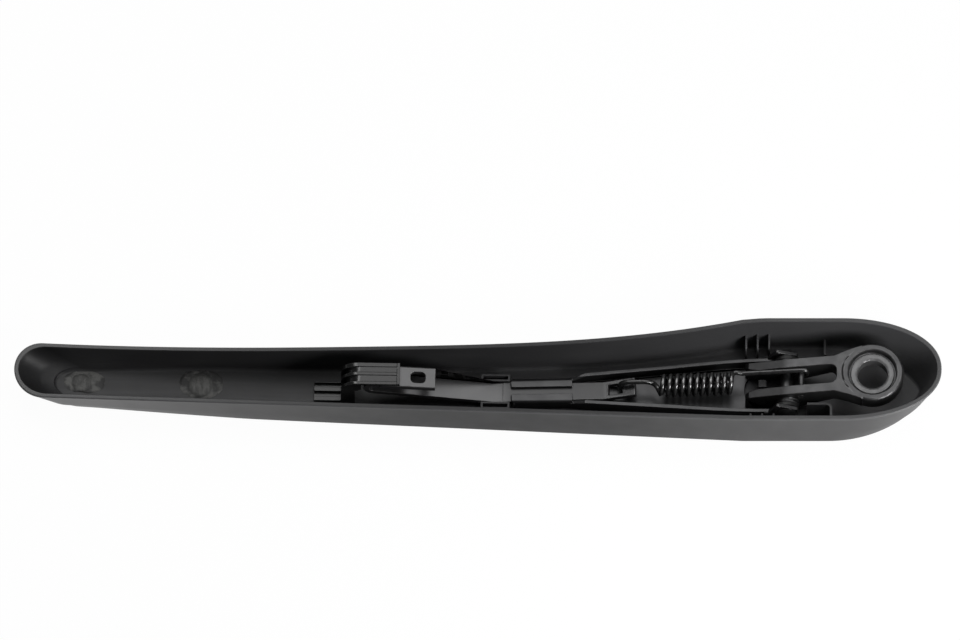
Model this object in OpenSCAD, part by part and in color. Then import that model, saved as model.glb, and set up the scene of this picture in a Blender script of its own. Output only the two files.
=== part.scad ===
// Rear wiper arm of the covered kind: a moulded shell lies on its crown with its open glass side up.
// Inside it a pressed steel channel carries the flat hooked strap, the tension spring and the
// die-cast mounting head, which swings on a rivet between the channel's ears.
// Frame: +X runs from the blade end to the spindle, +Y away from the straight edge, +Z to the glass.
// The origin is the mouth of the spindle bore.

/* [Shell] */
// From the spindle axis to the blade end of the rim
tip_reach = 343; // [300:1:400]
// From the spindle axis to the spindle end of the rim
head_reach = 27.6; // [26:0.1:34]
// Depth from rim to crown at the spindle end
shell_depth = 25; // [24:0.1:30]
// Height of the rim above the spindle eye
rim_above_eye = 3; // [1:0.1:6]
// How far the rim drops towards the crown at the blade end
rim_drop = 9.3; // [5:0.1:10]
// Rise of the crown at the blade end
crown_rise = 4; // [2:0.1:5]
// Thickness of the side walls
wall = 1.8; // [1.4:0.1:2.4]
// Thickness of the crown
crown_wall = 2.2; // [1.6:0.1:3]
// Lean of the side walls from rim to crown
side_draft = 0.5; // [0:0.1:1.5]
// Outer radius between wall and crown
corner_r = 3; // [2.4:0.1:4]
// Half width of the rim at the spindle end
head_half = 22.2; // [21:0.1:26]
// Far edge at the waist, seen from the spindle axis line
far_waist = 11.9; // [10.5:0.1:14]
// Far edge at the blade end
far_tip = 16; // [12:0.1:18]
// Near edge at the blade end
near_tip = 8; // [7:0.1:12]
// Distance of the waist from the spindle axis
waist_at = 212; // [190:1:240]
// Distance of the rim's kink from the spindle axis
kink_at = 52; // [48:0.5:60]
// Length of the rounded spindle end
head_round = 39; // [32:0.5:44]
// Length of the rounded blade end
tip_round = 11.4; // [9:0.1:14]
// How far the nose under the blade end is raked back
nose_rake = 14; // [8:0.5:20]
// How far the spindle end leans in from rim to crown
heel_rake = 6; // [4:0.1:7]
// How much further the far wall leans in at the blade end
tip_lean_far = 3; // [0:0.1:3.6]
// How much further the near wall leans in at the blade end
tip_lean_near = 1.1; // [0:0.1:2]

/* [Shell ribs and bosses] */
// Thickness of the gusset ribs
gusset_t = 0.8; // [0.6:0.1:1.2]
// Spacing of the gusset ribs
gusset_pitch = 4.6; // [3:0.1:6]
// Height of the gusset ribs above the floor
gusset_h = 11.4; // [8:0.1:14]
// Clear width between facing gusset ribs
gusset_gap = 27.8; // [27:0.1:30]
// Distance of the angled rib's leg from the head's middle
cheek_leg_y = 9.8; // [9.4:0.1:10.6]
// Length of the angled rib along the arm
cheek_len = 10; // [6:0.1:11]
// Height of the angled rib above the floor
cheek_h = 11.4; // [8:0.1:14]
// Height of the plain cross rib on the far side
cross_rib_h = 6.4; // [4:0.1:9]
// Side of the square stud in front of the hinge
stud_w = 3; // [2:0.1:4]
// Height of that stud
stud_h = 6.8; // [3:0.1:8]
// Length of the clip bosses beside the strap
boss_len = 11.6; // [8:0.2:14]
// Width of the clip bosses
boss_w = 3.2; // [2.8:0.1:4]
// Height of the clip bosses
boss_h = 5; // [3:0.1:7]

/* [Mounting head] */
// Outer radius of the spindle eye
eye_r = 12.4; // [11.6:0.1:14]
// Thickness of the spindle eye
eye_t = 8; // [7:0.1:8.6]
// Radius of the recess round the sleeve
recess_r = 9.5; // [9.2:0.1:10.4]
// Depth of that recess
recess_deep = 2.3; // [1:0.1:3]
// Outer radius of the serrated sleeve
sleeve_r = 8.6; // [7.6:0.1:9]
// Radius of the spindle bore
bore_r = 6.1; // [5:0.1:7]
// Chamfer at both mouths of the bore
bore_chamfer = 0.6; // [0.3:0.1:1]
// Outer width of the fork
fork_w = 15.5; // [14.4:0.1:17]
// Gap between the fork's arms
fork_gap = 7.8; // [7:0.1:8.6]
// From the spindle axis to the blade end of the fork
fork_reach = 50.8; // [49:0.1:54]
// Height of the fork's knee over the hinge
knee_up = 8.3; // [7.6:0.1:9]
// Height of the fork's blade end over the hinge
fork_tip_up = 3.8; // [3:0.1:5]
// Outer width over the fork's hinge bosses
hub_w = 18.8; // [17.6:0.1:19.6]

/* [Hinge] */
// From the spindle axis to the hinge
hinge_at = 34.2; // [32:0.1:38]
// Height of the hinge above the shell's floor
hinge_up = 7; // [6.6:0.1:8]
// Radius of the hinge rivet
pin_r = 2.5; // [2:0.1:3]
// Radius of the rivet's heads
rivet_r = 4.2; // [3.6:0.1:4.8]
// Height of the rivet's heads
rivet_h = 1.9; // [1:0.1:2.4]
// Wall of the hinge bushes
bush_wall = 1.1; // [0.8:0.1:1.4]
// Radius of the bushes' flanges
bush_flange_r = 4.8; // [4.2:0.1:5.2]
// Running clearance of the rivet in its bushes
run_gap = 0.05; // [0.02:0.01:0.08]
// Room left between the moving head and its neighbours
side_gap = 0.15; // [0.1:0.05:0.3]

/* [Retainer channel] */
// Thickness of the channel's sheet
sheet = 1.5; // [1.2:0.1:1.8]
// Outer width over the channel's ears
ear_w = 25; // [24.4:0.1:25.6]
// Height of the ears above the hinge
ear_up = 6.4; // [6:0.1:7]
// Height of the channel's side flanges over its web
flange_h = 5.4; // [4:0.1:6]
// Distance of the neck's spindle end from the spindle axis
neck_at = 120.4; // [114:0.1:126]
// Length of the crimped neck
neck_len = 24.2; // [18:0.1:28]
// Length of each crimped lip over the strap
lip = 2.6; // [2:0.1:3]
// Distance of the web's spindle end from the spindle axis
web_end = 48; // [46:0.1:50]
// Turn of the channel seen from above, in degrees
channel_turn = 1.06; // [0:0.02:1.6]

/* [Strap] */
// Width of the strap
strap_w = 8.2; // [7.6:0.1:9]
// Thickness of the strap
strap_t = 2.4; // [2:0.1:2.6]
// Width of the hook's free leg
leg_w = 8.9; // [8.2:0.1:9.2]
// Distance of the hook's bend from the spindle axis
hook_at = 198.9; // [190:0.5:206]
// Height of the hook's bend axis below the shell's rim at the spindle end
hook_down = 8.2; // [7:0.1:10]
// Outer radius of the hook's bend
hook_r = 4.5; // [4:0.1:5]
// Length of the hook's free leg
hook_leg = 24; // [18:0.5:28]
// Slope of the hook's free leg, in degrees
leg_slope = 5.3; // [2:0.1:8]
// Distance of the crease, where the strap starts to rise, from the spindle axis
crease_at = 152.6; // [149.6:0.1:160]
// Length of the latch slot
slot_len = 6; // [5:0.1:8]
// Width of the latch slot
slot_w = 4.8; // [4.2:0.1:5.4]
// Distance of the tongue's bend from the spindle axis
tongue_at = 107.4; // [104:0.1:110]
// Length of the tongue
tongue_len = 13.8; // [13:0.1:14.4]
// Width of the tongue
tongue_w = 7.4; // [6.4:0.1:7.6]
// Slope of the tongue, in degrees
tongue_slope = 17.5; // [12:0.5:22]
// Length of the tongue's hole
eyelet_len = 6; // [5.4:0.1:6.4]
// Width of the tongue's hole
eyelet_w = 4.4; // [3.6:0.1:4.8]
// Turn of the strap between neck and hook, in degrees
strap_turn = 2.1; // [0:0.1:3]

/* [Tension spring] */
// Outer radius of the coil
coil_r = 4.8; // [4.2:0.1:5]
// Radius of the wire
wire_r = 1; // [0.8:0.05:1.1]
// Number of turns
coil_turns = 10; // [8:1:10]
// Pitch of the turns
coil_pitch = 2.74; // [2.3:0.02:2.9]
// Distance of the coil's blade end from the spindle axis
coil_at = 84.4; // [82:0.1:86]
// Height of the coil's axis over the web
coil_up = 6.2; // [6:0.1:7]
// Radius of the hook pin
hook_pin_r = 1.1; // [1:0.1:1.6]
// From the hinge to the hook pin, along the arm
hook_pin_ahead = 5.8; // [5.6:0.1:7.2]
// From the hinge up to the hook pin
hook_pin_up = 5.4; // [5.2:0.1:6.4]
// Gap between the wire hook and its pin
hook_gap = 0.3; // [0.2:0.05:0.4]

/* [Blade adapter] */
// How far the bridge reaches past the hook's bend axis
bridge_ahead = 10.1; // [8:0.1:12]
// Width of the adapter
adapter_w = 9.4; // [9:0.1:11]
// Length of the bridge over the hook
bridge_len = 23.6; // [20:0.1:26]
// Thickness of the bridge
bridge_t = 1.4; // [1.2:0.1:2]
// Thickness of the upright leg
leg_t = 5.6; // [4:0.1:6]
// Radius of the bend from leg to bridge
bend_r = 7; // [5.6:0.1:7.4]
// Length of the foot along the floor
foot_len = 10.8; // [8:0.2:14]
// Thickness of the foot
foot_t = 2.5; // [2:0.1:3]
// Width of the ribs
rib_w = 1.3; // [1:0.1:1.6]
// Depth of the pockets between the ribs
pocket = 2.4; // [1.5:0.1:3]

/* [Compound pads] */
// Distance of the first pad from the blade end
tip_pad_at = 19.6; // [19.4:0.1:24]
// Length of the first pad
tip_pad_len = 16.8; // [14:0.1:18]
// Radius of the first pad's hump
tip_hump_r = 3.6; // [2.8:0.1:3.7]
// How far the second pad lies from midway between the first pad and the adapter, to the blade end
mid_pad_off = 3.3; // [-2:0.1:8]
// Length of the second pad
mid_pad_len = 17.6; // [14:0.1:20]
// Radius of the second pad's hump
mid_hump_r = 5; // [4:0.1:5.8]

/* [Hidden] */
$fn = 48;
seat_gap = 0.02;

// Heights, all counted from the mouth of the spindle bore
eye_top = bore_chamfer + recess_deep;
eye_low = eye_top - eye_t;
rim_top = eye_top + rim_above_eye;
crown_low = rim_top - shell_depth;
floor_z = crown_low + crown_wall;
web_top = floor_z + sheet;
strap_top = web_top + strap_t;
hinge_z = floor_z + hinge_up;
flange_top = web_top + flange_h;

// Stations along the arm
tip_x = -tip_reach;
kink_x = -kink_at;
waist_x = -waist_at;
hinge_x = -hinge_at;
neck_x = -neck_at;
hook_x = -hook_at;
bridge_x1 = hook_x + bridge_ahead;
leg_x0 = bridge_x1 - bridge_len;
hook_z = rim_top - hook_down;

// Plan outline of the shell: the far edge bows in at the waist and flares to the kink,
// the near edge is straight
tip_power = 2.3;
flare_power = 3.2;
kink_step = 0.7;
kink_len = 8;
function far_edge(x) =
    x < waist_x ?
        far_waist + (far_tip - far_waist) * pow((waist_x - x) / (tip_reach - waist_at), tip_power)
    : x < kink_x ?
        far_waist
        + (head_half - kink_step - far_waist) * pow((x - waist_x) / (waist_at - kink_at), flare_power)
    : head_half - kink_step * max(0, 1 - (x - kink_x) / kink_len);
function near_edge(x) =
    -min(head_half, near_tip + (head_half - near_tip) * (x - tip_x) / (tip_reach - kink_at));

// Side outline of the shell: the rim is level round the head and slopes down to the blade end,
// the crown is flat and rises a little there
rest_x = leg_x0 - foot_len - 2;
function rim_line(x) = rim_top - rim_drop * max(0, kink_x - x) / (tip_reach - kink_at);
function crown_line(x) = crown_low + crown_rise * pow(max(0, rest_x - x) / (tip_reach + rest_x), 2);

// Each level of the shell's skin is [share of the way from crown to rim, rise, side inset,
// inset at the blade end, inset at the spindle end]
edge_r = 0.5;
corner_steps = 4;
heel_point = 0.24;
heel_full = 0.46;
lean_x0 = tip_x + 93;
lean_len = 60;
function tip_share(x) = min(1, max(0, (lean_x0 - x) / lean_len));
function rake(share) = nose_rake * pow(1 - share, 1.15);
function lean(share) = heel_rake * (1 - share);
function wall_level(share, rise, inset) = [
    share, rise, inset + side_draft * (1 - share), inset + rake(share), inset + lean(share)
];
function corner_level(a, r, inset, base) = [
    0, base + r * (1 - sin(a)), inset + side_draft + r * (1 - cos(a)),
    inset + nose_rake + r * (1 - cos(a)), inset + heel_rake + r * (1 - cos(a))
];
inner_corner_r = corner_r / 2;
outer_levels = [
    wall_level(1, 0, edge_r),
    wall_level(1, -edge_r, 0),
    wall_level(0.75, 0, 0),
    wall_level(0.5, 0, 0),
    wall_level(0.3, 0, 0),
    for (i = [0:corner_steps]) corner_level(90 * i / corner_steps, corner_r, 0, 0)
];
inner_levels = [
    for (i = [corner_steps:-1:0]) corner_level(90 * i / corner_steps, inner_corner_r, wall, crown_wall),
    wall_level(0.3, crown_wall * 0.7, wall),
    wall_level(0.5, crown_wall * 0.5, wall),
    wall_level(0.75, crown_wall * 0.25, wall),
    wall_level(1, -edge_r, wall),
    wall_level(1, 0, wall - edge_r * 0.6)
];

// Stations round one level: the rounded blade end, the blade side, the kinked head side, the round heel
tip_steps = 8;
blade_steps = 24;
cheek_steps = 5;
heel_steps = 12;
stations = tip_steps + blade_steps + cheek_steps + heel_steps;
function station_x(k, x0, x1) =
    k <= tip_steps ? x0 + tip_round * (1 - cos(90 * k / tip_steps))
    : k <= tip_steps + blade_steps ?
        x0 + tip_round + (kink_x - x0 - tip_round) * (k - tip_steps) / blade_steps
    : k <= stations - heel_steps ?
        kink_x + (x1 - head_round - kink_x) * (k - tip_steps - blade_steps) / cheek_steps
    : x1 - head_round * (1 - cos(90 * (stations - k) / heel_steps));
function cap(x, x0, x1, share) =
    x < x0 + tip_round ? sqrt(max(0, 1 - pow((x0 + tip_round - x) / tip_round, 2)))
    : x > x1 - head_round ?
        pow(max(0, 1 - pow((x - x1 + head_round) / head_round, 2)), heel_full + heel_point * (1 - share))
    : 1;
function skin_point(level, k, far) =
    let (
        x0 = tip_x + level[3],
        x1 = head_reach - level[4],
        x = station_x(k, x0, x1),
        y_far = far_edge(x) - level[2] - tip_lean_far * (1 - level[0]) * pow(tip_share(x), 2),
        y_near = near_edge(x) + level[2] + tip_lean_near * (1 - level[0]) * tip_share(x),
        middle = (y_far + y_near) / 2,
        half = (y_far - y_near) / 2 * cap(x, x0, x1, level[0]),
        z = crown_line(x) + level[0] * (rim_line(x) - crown_line(x)) + level[1]
    )
    [x, middle + (far ? half : -half), z];
function skin_ring(level) = [
    for (k = [0:stations]) skin_point(level, k, true),
    for (k = [stations - 1:-1:1]) skin_point(level, k, false)
];
ring_n = 2 * stations;

// A flat cap over a ring: strips across from the far side to the near side
function cap_faces(base, up) = [
    for (k = [0:stations - 1])
        let (
            a = base + k,
            b = base + k + 1,
            c = base + (ring_n - k - 1) % ring_n,
            d = base + (ring_n - k) % ring_n
        )
        each [
            if (b != c) up ? [a, c, b] : [a, b, c],
            if (a != d) up ? [a, d, c] : [a, c, d]
        ]
];
function band_faces(i) = [
    for (j = [0:ring_n - 1])
        let (
            a = i * ring_n + j,
            b = i * ring_n + (j + 1) % ring_n,
            c = (i + 1) * ring_n + (j + 1) % ring_n,
            d = (i + 1) * ring_n + j
        )
        each [[a, c, b], [a, d, c]]
];

// The moulded skin is one closed surface: down the outside, over the crown, up the inside, over the rim
module skin() {
    levels = concat(outer_levels, inner_levels);
    n = len(levels);
    outer_n = len(outer_levels);
    polyhedron(
        points = [for (level = levels) each skin_ring(level)],
        faces = concat(
            [for (i = [0:outer_n - 2]) each band_faces(i)],
            cap_faces((outer_n - 1) * ring_n, false),
            cap_faces(outer_n * ring_n, true),
            [for (i = [outer_n:n - 2]) each band_faces(i)],
            [
                for (j = [0:ring_n - 1])
                    let (
                        a = (n - 1) * ring_n + j,
                        b = (n - 1) * ring_n + (j + 1) % ring_n,
                        c = (j + 1) % ring_n,
                        d = j
                    )
                    each [[a, c, b], [a, d, c]]
            ]
        ),
        convexity = 8
    );
}

// The line of the channel and strap, turned a little from the spindle's own line
module on_channel_line() {
    translate([hinge_x, 0, 0])
        rotate([0, 0, channel_turn])
            translate([-hinge_x, 0, 0])
                children();
}

// The line of the strap from the neck to its hook
turn_x = neck_x - neck_len - 4;
turn_lap = 1;
module on_strap_line() {
    on_channel_line()
        translate([turn_x, 0, 0])
            rotate([0, 0, -strap_turn])
                translate([-turn_x, 0, 0])
                    children();
}

// A plate standing along Y, drawn as its outline in X and Z
module upright(y0, y1) {
    translate([0, y1, 0])
        rotate([90, 0, 0])
            linear_extrude(height = y1 - y0)
                children();
}

// A pin or bore along Y
module along_y(r, y0, y1) {
    translate([0, y0, 0])
        rotate([-90, 0, 0])
            cylinder(r = r, h = y1 - y0);
}

module clip_boss(side) {
    slot_wall = 0.9;
    room = 0.35;
    end_room = 0.3;
    slot_floor = 1;
    middle = side * (strap_w / 2 + room + boss_w / 2);
    translate([neck_x - neck_len - end_room - boss_len, middle - boss_w / 2, floor_z - crown_wall / 2])
        difference() {
            cube([boss_len, boss_w, boss_h + crown_wall / 2]);
            translate([slot_wall, slot_wall, crown_wall / 2 + slot_floor])
                cube([boss_len - 2 * slot_wall, boss_w - 2 * slot_wall, boss_h]);
        }
}

wall_root = head_half - wall / 2 - side_draft;
module gusset(i, side) {
    from_kink = side > 0 ? 1.2 : 2.9;
    x = kink_x + from_kink + i * gusset_pitch;
    toe_r = 1.2;
    foot_in = 0.4;
    mirror([0, side < 0 ? 1 : 0, 0])
        translate([x, 0, 0])
            rotate([90, 0, 90])
                linear_extrude(height = gusset_t)
                    polygon([
                        [gusset_gap / 2, floor_z - crown_wall / 2],
                        [wall_root - foot_in, floor_z - crown_wall / 2],
                        [wall_root, floor_z + gusset_h],
                        [gusset_gap / 2 + toe_r, floor_z + gusset_h],
                        [gusset_gap / 2, floor_z + gusset_h - toe_r]
                    ]);
}

rib_t = 0.9;

// Angled rib beside the head on the near side: a leg along the arm that turns out to the side wall
module angled_rib() {
    ear_room = 3.5;
    bend = 2.4;
    x0 = hinge_x + ear_ahead + ear_room;
    x1 = x0 + cheek_len;
    mirror([0, 1, 0])
        translate([0, 0, floor_z - crown_wall / 2])
            linear_extrude(height = cheek_h + crown_wall / 2)
                union() {
                    translate([x0, cheek_leg_y])
                        square([cheek_len - bend, rib_t]);
                    translate([x1 - rib_t, cheek_leg_y + bend])
                        square([rib_t, wall_root - cheek_leg_y - bend]);
                    translate([x1 - bend, cheek_leg_y + bend])
                        difference() {
                            circle(r = bend);
                            circle(r = bend - rib_t);
                            translate([-2 * bend, -bend])
                                square([2 * bend, 3 * bend]);
                            translate([-bend, 0])
                                square([3 * bend, 2 * bend]);
                        }
                }
}

// Its plain counterpart on the far side, a low plate across to the wall
module cross_rib() {
    ahead = 14.9;
    y0 = 13.3;
    translate([hinge_x + ahead, y0, floor_z - crown_wall / 2])
        cube([rib_t, wall_root - y0, cross_rib_h + crown_wall / 2]);
}

module stud() {
    ahead = 9.7;
    off_line = 0.6;
    translate([hinge_x - ahead - stud_w / 2, off_line - stud_w / 2, floor_z - crown_wall / 2])
        cube([stud_w, stud_w, stud_h + crown_wall / 2]);
}

module arm_shell() {
    color([0.2, 0.2, 0.21])
        union() {
            skin();
            on_strap_line() {
                clip_boss(1);
                clip_boss(-1);
            }
            stud();
            angled_rib();
            cross_rib();
            for (side = [-1, 1])
                for (i = [0:2])
                    gusset(i, side);
        }
}

// Blob of sealing compound pressed flat on the shell's sloping floor, with a round hump.
// across is the pad's range in Y, hump_at counts from the pad's own start.
tip_pad_x0 = tip_x + tip_pad_at;
mid_pad_x0 = (tip_pad_x0 + tip_pad_len + leg_x0 - foot_len) / 2 - mid_pad_off - mid_pad_len / 2;
module compound_pad(x0, length, across, hump_at, hump_r) {
    film = 0.4;
    hump = 0.8;
    lift = 0.04;
    z0 = crown_line(x0) + crown_wall + lift;
    z1 = crown_line(x0 + length) + crown_wall + lift;
    width = across[1] - across[0];
    r = width / 2.6;
    color([0.5, 0.5, 0.47])
        translate([x0, 0, z0])
            rotate([0, -atan2(z1 - z0, length), 0])
                union() {
                    linear_extrude(height = film)
                        union() {
                            translate([r, across[0]])
                                square([length - 2 * r, width]);
                            translate([0, across[0] + r])
                                square([length, width - 2 * r]);
                            for (x = [r, length - r])
                                for (y = [across[0] + r, across[1] - r])
                                    translate([x, y])
                                        circle(r = r);
                        }
                    translate([hump_at, (across[0] + across[1]) / 2, 0])
                        cylinder(r1 = hump_r, r2 = hump_r - film, h = hump);
                }
}
module compound_pad_tip() { compound_pad(tip_pad_x0, tip_pad_len, [-1.4, 6], 7.2, tip_hump_r); }
module compound_pad_mid() { compound_pad(mid_pad_x0, mid_pad_len, [-3.4, 8.4], 8.6, mid_hump_r); }

// Half width of the channel: a small step out at the neck, then opening towards the ears
neck_half = strap_w / 2 + seat_gap + sheet;
flare_x = neck_x + 7;
spread_x = hinge_x - 46;
ear_half = ear_w / 2;
joggle = 0.7;
flare_step = 0.15;
flare_out = 1.1;
spread_in = 2.5;
side_half = ear_half - joggle;
side_x = hinge_x - 5;
function channel_half(x) =
    x < flare_x ?
        neck_half + flare_step
        + (flare_out - flare_step) * (1 - cos(180 * (x - neck_x) / (flare_x - neck_x))) / 2
    : x < spread_x ?
        neck_half + flare_out
        + (side_half - spread_in - neck_half - flare_out) * (x - flare_x) / (spread_x - flare_x)
    : side_half - spread_in * (1 - sin(90 * (x - spread_x) / (side_x - spread_x)));
channel_x = [
    for (i = [0:4]) neck_x + (flare_x - neck_x) * i / 4,
    for (i = [0:5]) spread_x + (side_x - spread_x) * i / 5
];
module channel_plan(inset) {
    polygon(concat(
        [for (x = channel_x) [x, channel_half(x) - inset]],
        [for (i = [len(channel_x) - 1:-1:0]) [channel_x[i], inset - channel_half(channel_x[i])]]
    ));
}

// Section of the crimped neck: the web, two walls and two lips rolled over the strap
module neck_section() {
    roll_r = 1.6;
    lip_top = strap_top + seat_gap + sheet;
    difference() {
        polygon(concat(
            [[neck_half, floor_z]],
            [
                for (a = [0:15:90])
                    [neck_half - roll_r * (1 - cos(a)), lip_top - roll_r * (1 - sin(a))]
            ],
            [
                for (a = [90:-15:0])
                    [roll_r * (1 - cos(a)) - neck_half, lip_top - roll_r * (1 - sin(a))]
            ],
            [[-neck_half, floor_z]]
        ));
        translate([-strap_w / 2 - seat_gap, web_top])
            square([strap_w + 2 * seat_gap, strap_t + seat_gap]);
        translate([lip - strap_w / 2 - seat_gap, web_top])
            square([strap_w + 2 * seat_gap - 2 * lip, lip_top - floor_z]);
    }
}

// Ear with a sloping top, stepped out from the flange
ear_ahead = 4.6;
module ear(side) {
    bar_x = hinge_x - 9;
    lift = 0.02;
    mirror([0, side < 0 ? 1 : 0, 0])
        difference() {
            upright(ear_half - sheet, ear_half)
                polygon([
                    [bar_x, floor_z + lift],
                    [hinge_x - 1, floor_z + lift],
                    [hinge_x + ear_ahead - 1, hinge_z - 3.4],
                    [hinge_x + ear_ahead, hinge_z],
                    [hinge_x + ear_ahead - 0.3, hinge_z + ear_up - 3.4],
                    [hinge_x + ear_ahead - 1.4, hinge_z + ear_up - 2.9],
                    [hinge_x - 3.4, hinge_z + ear_up],
                    [hinge_x - 4.2, hinge_z + ear_up - 0.2],
                    [hinge_x - 7.4, flange_top - lift],
                    [bar_x, flange_top - lift]
                ]);
            translate([hinge_x, 0, hinge_z])
                along_y(pin_r + seat_gap, ear_half - 2 * sheet, ear_half + sheet);
        }
}

module retainer_channel() {
    web_cut_r = 9;
    web_ledge = 1.2;
    fold_rise = 2.4;
    color([0.3, 0.3, 0.31])
        union() {
            difference() {
                on_channel_line()
                    union() {
                        translate([0, 0, floor_z])
                            linear_extrude(height = sheet)
                                channel_plan(0);
                        difference() {
                            translate([0, 0, floor_z])
                                linear_extrude(height = flange_top - floor_z)
                                    difference() {
                                        channel_plan(0);
                                        channel_plan(sheet);
                                    }
                            upright(-ear_w, ear_w)
                                polygon([
                                    [neck_x - 1, flange_top - fold_rise],
                                    [neck_x + 0.5, flange_top - fold_rise],
                                    [flare_x - 1, flange_top],
                                    [flare_x - 1, flange_top + 1],
                                    [neck_x - 1, flange_top + 1]
                                ]);
                        }
                    }
                translate([-web_end + web_cut_r - 3, 0, floor_z - 1])
                    cylinder(r = web_cut_r, h = sheet + 2);
                translate([-web_end, web_ledge + sheet - ear_half, floor_z - 1])
                    cube([web_end, ear_w - 2 * sheet - 2 * web_ledge, sheet + 2]);
            }
            on_channel_line()
                intersection() {
                    translate([neck_x - neck_len - 1, 0, 0])
                        rotate([90, 0, 90])
                            linear_extrude(height = neck_len + 1.5)
                                neck_section();
                    translate([0, 0, floor_z])
                        linear_extrude(height = shell_depth)
                            union() {
                                translate([neck_x - neck_len + 2, -neck_half])
                                    square([neck_len, 2 * neck_half]);
                                translate([neck_x - neck_len, 2 - neck_half])
                                    square([neck_len, 2 * neck_half - 4]);
                                for (side = [-1, 1])
                                    translate([neck_x - neck_len + 2, side * (neck_half - 2)])
                                        circle(r = 2);
                            }
                }
            ear(1);
            ear(-1);
        }
}

// Side outline of the strap from the neck up its slope, round the bend and along the free leg.
// The slope is the one that meets the bend as a tangent.
crease_x = -crease_at;
rise_run = crease_x - hook_x;
rise_up = hook_z - web_top;
rise_slope = atan2(rise_up, rise_run) - asin(hook_r / norm([rise_run, rise_up]));
tongue_x = -tongue_at;
slot_from_end = 4;
eyelet_from_end = 5.2;
bend_steps = 14;
function bend_arc(r, a0, a1) = [
    for (i = [0:bend_steps])
        let (a = a0 + (a1 - a0) * i / bend_steps)
        [hook_x + r * cos(a), hook_z + r * sin(a)]
];
function leg_point(r, along) = [
    hook_x + r * sin(leg_slope) + along * cos(leg_slope),
    hook_z + r * cos(leg_slope) - along * sin(leg_slope)
];
function leg_start(r) = leg_point(r, 2);
function leg_end(r) = leg_point(r, hook_leg);

module strap_hook() {
    lift = 0.02;
    difference() {
        union() {
            upright(-strap_w / 2, strap_w / 2)
                polygon(concat(
                    [[turn_x + turn_lap, web_top + lift], [crease_x, web_top + lift]],
                    bend_arc(hook_r, 270 - rise_slope, 90 - leg_slope),
                    [leg_end(hook_r), leg_end(hook_r - strap_t)],
                    bend_arc(hook_r - strap_t, 90 - leg_slope, 270 - rise_slope),
                    [
                        [crease_x + strap_t * tan(rise_slope / 2), strap_top + lift],
                        [turn_x + turn_lap, strap_top + lift]
                    ]
                ));
            upright(-leg_w / 2, leg_w / 2)
                polygon([
                    leg_start(hook_r),
                    leg_end(hook_r),
                    leg_end(hook_r - strap_t),
                    leg_start(hook_r - strap_t)
                ]);
        }
        translate([hook_x, 0, hook_z])
            rotate([0, leg_slope, 0])
                latch_slot();
    }
}

module latch_slot() {
    end_r = slot_w / 2 - 0.6;
    translate([hook_leg - slot_from_end - slot_len, 0, hook_r - 2 * strap_t])
        linear_extrude(height = 3 * strap_t)
            union() {
                translate([end_r, -slot_w / 2])
                    square([slot_len - 2 * end_r, slot_w]);
                translate([0, end_r - slot_w / 2])
                    square([slot_len, slot_w - 2 * end_r]);
                for (x = [end_r, slot_len - end_r])
                    for (y = [end_r - slot_w / 2, slot_w / 2 - end_r])
                        translate([x, y])
                            circle(r = end_r);
            }
}

module strap_tongue() {
    difference() {
        upright(-tongue_w / 2, tongue_w / 2)
            polygon([
                [neck_x - 1, web_top],
                [tongue_x, web_top],
                [tongue_x + tongue_len * cos(tongue_slope), web_top + tongue_len * sin(tongue_slope)],
                [
                    tongue_x + tongue_len * cos(tongue_slope) - strap_t * sin(tongue_slope),
                    web_top + tongue_len * sin(tongue_slope) + strap_t * cos(tongue_slope)
                ],
                [tongue_x - strap_t * tan(tongue_slope / 2), strap_top],
                [neck_x - 1, strap_top]
            ]);
        translate([tongue_x, 0, web_top])
            rotate([0, -tongue_slope, 0])
                translate([tongue_len - eyelet_from_end - eyelet_len, -eyelet_w / 2, -strap_t])
                    cube([eyelet_len, eyelet_w, 3 * strap_t]);
    }
}

module arm_strap() {
    color([0.42, 0.42, 0.43])
        union() {
            on_strap_line()
                strap_hook();
            on_channel_line() {
                translate([turn_x - turn_lap, -strap_w / 2, web_top])
                    cube([neck_x - turn_x + turn_lap, strap_w, strap_t]);
                strap_tongue();
            }
        }
}

// The adapter's side outline, from the foot on the floor up the leg and over the hook.
// recess sets the pocket floors back from the ribs.
bridge_low = hook_z + hook_r + side_gap;
bridge_top = bridge_low + bridge_t;
module adapter_outline(recess) {
    bend = bend_r - recess / 2;
    x0 = leg_x0 + recess;
    top = bridge_top - recess / 10;
    union() {
        translate([x0, floor_z])
            square([leg_x0 + leg_t - x0, top - bend - floor_z]);
        translate([x0 + bend, bridge_low])
            square([bridge_x1 - x0 - bend, top - bridge_low]);
        intersection() {
            translate([x0 + bend, top - bend])
                circle(r = bend);
            translate([x0, top - bend])
                square([bend, bend]);
        }
        translate([x0, bridge_low - bend_r])
            square([leg_t - recess, bend_r - (bridge_low + bend - top)]);
    }
}

module blade_adapter() {
    bar = 1.2;
    bar_up = 0.2;
    skin_t = 0.8;
    far_rib_w = 1.7;
    foot_half = 4.1;
    foot_lap = 1;
    foot_x0 = leg_x0 - foot_len;
    bands = [[-adapter_w / 2, rib_w], [-rib_w / 2, rib_w], [adapter_w / 2 - far_rib_w, far_rib_w]];
    fingers = [[-foot_half, 1.8], [0, 1.9], [foot_half - 0.5, 0.5]];
    color([0.24, 0.24, 0.25])
        translate([0, 0, seat_gap])
            on_strap_line()
                union() {
                    upright(-adapter_w / 2, adapter_w / 2)
                        adapter_outline(pocket);
                    for (band = bands)
                        upright(band[0], band[0] + band[1])
                            adapter_outline(0);
                    translate([bridge_x1 - bar, -adapter_w / 2, bridge_low])
                        cube([bar, adapter_w, bridge_t + bar_up]);
                    translate([foot_x0, -foot_half, floor_z])
                        cube([foot_len + foot_lap, 2 * foot_half, skin_t]);
                    for (finger = fingers)
                        translate([foot_x0, finger[0], floor_z])
                            cube([foot_len + foot_lap, finger[1], foot_t]);
                }
}

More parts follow.
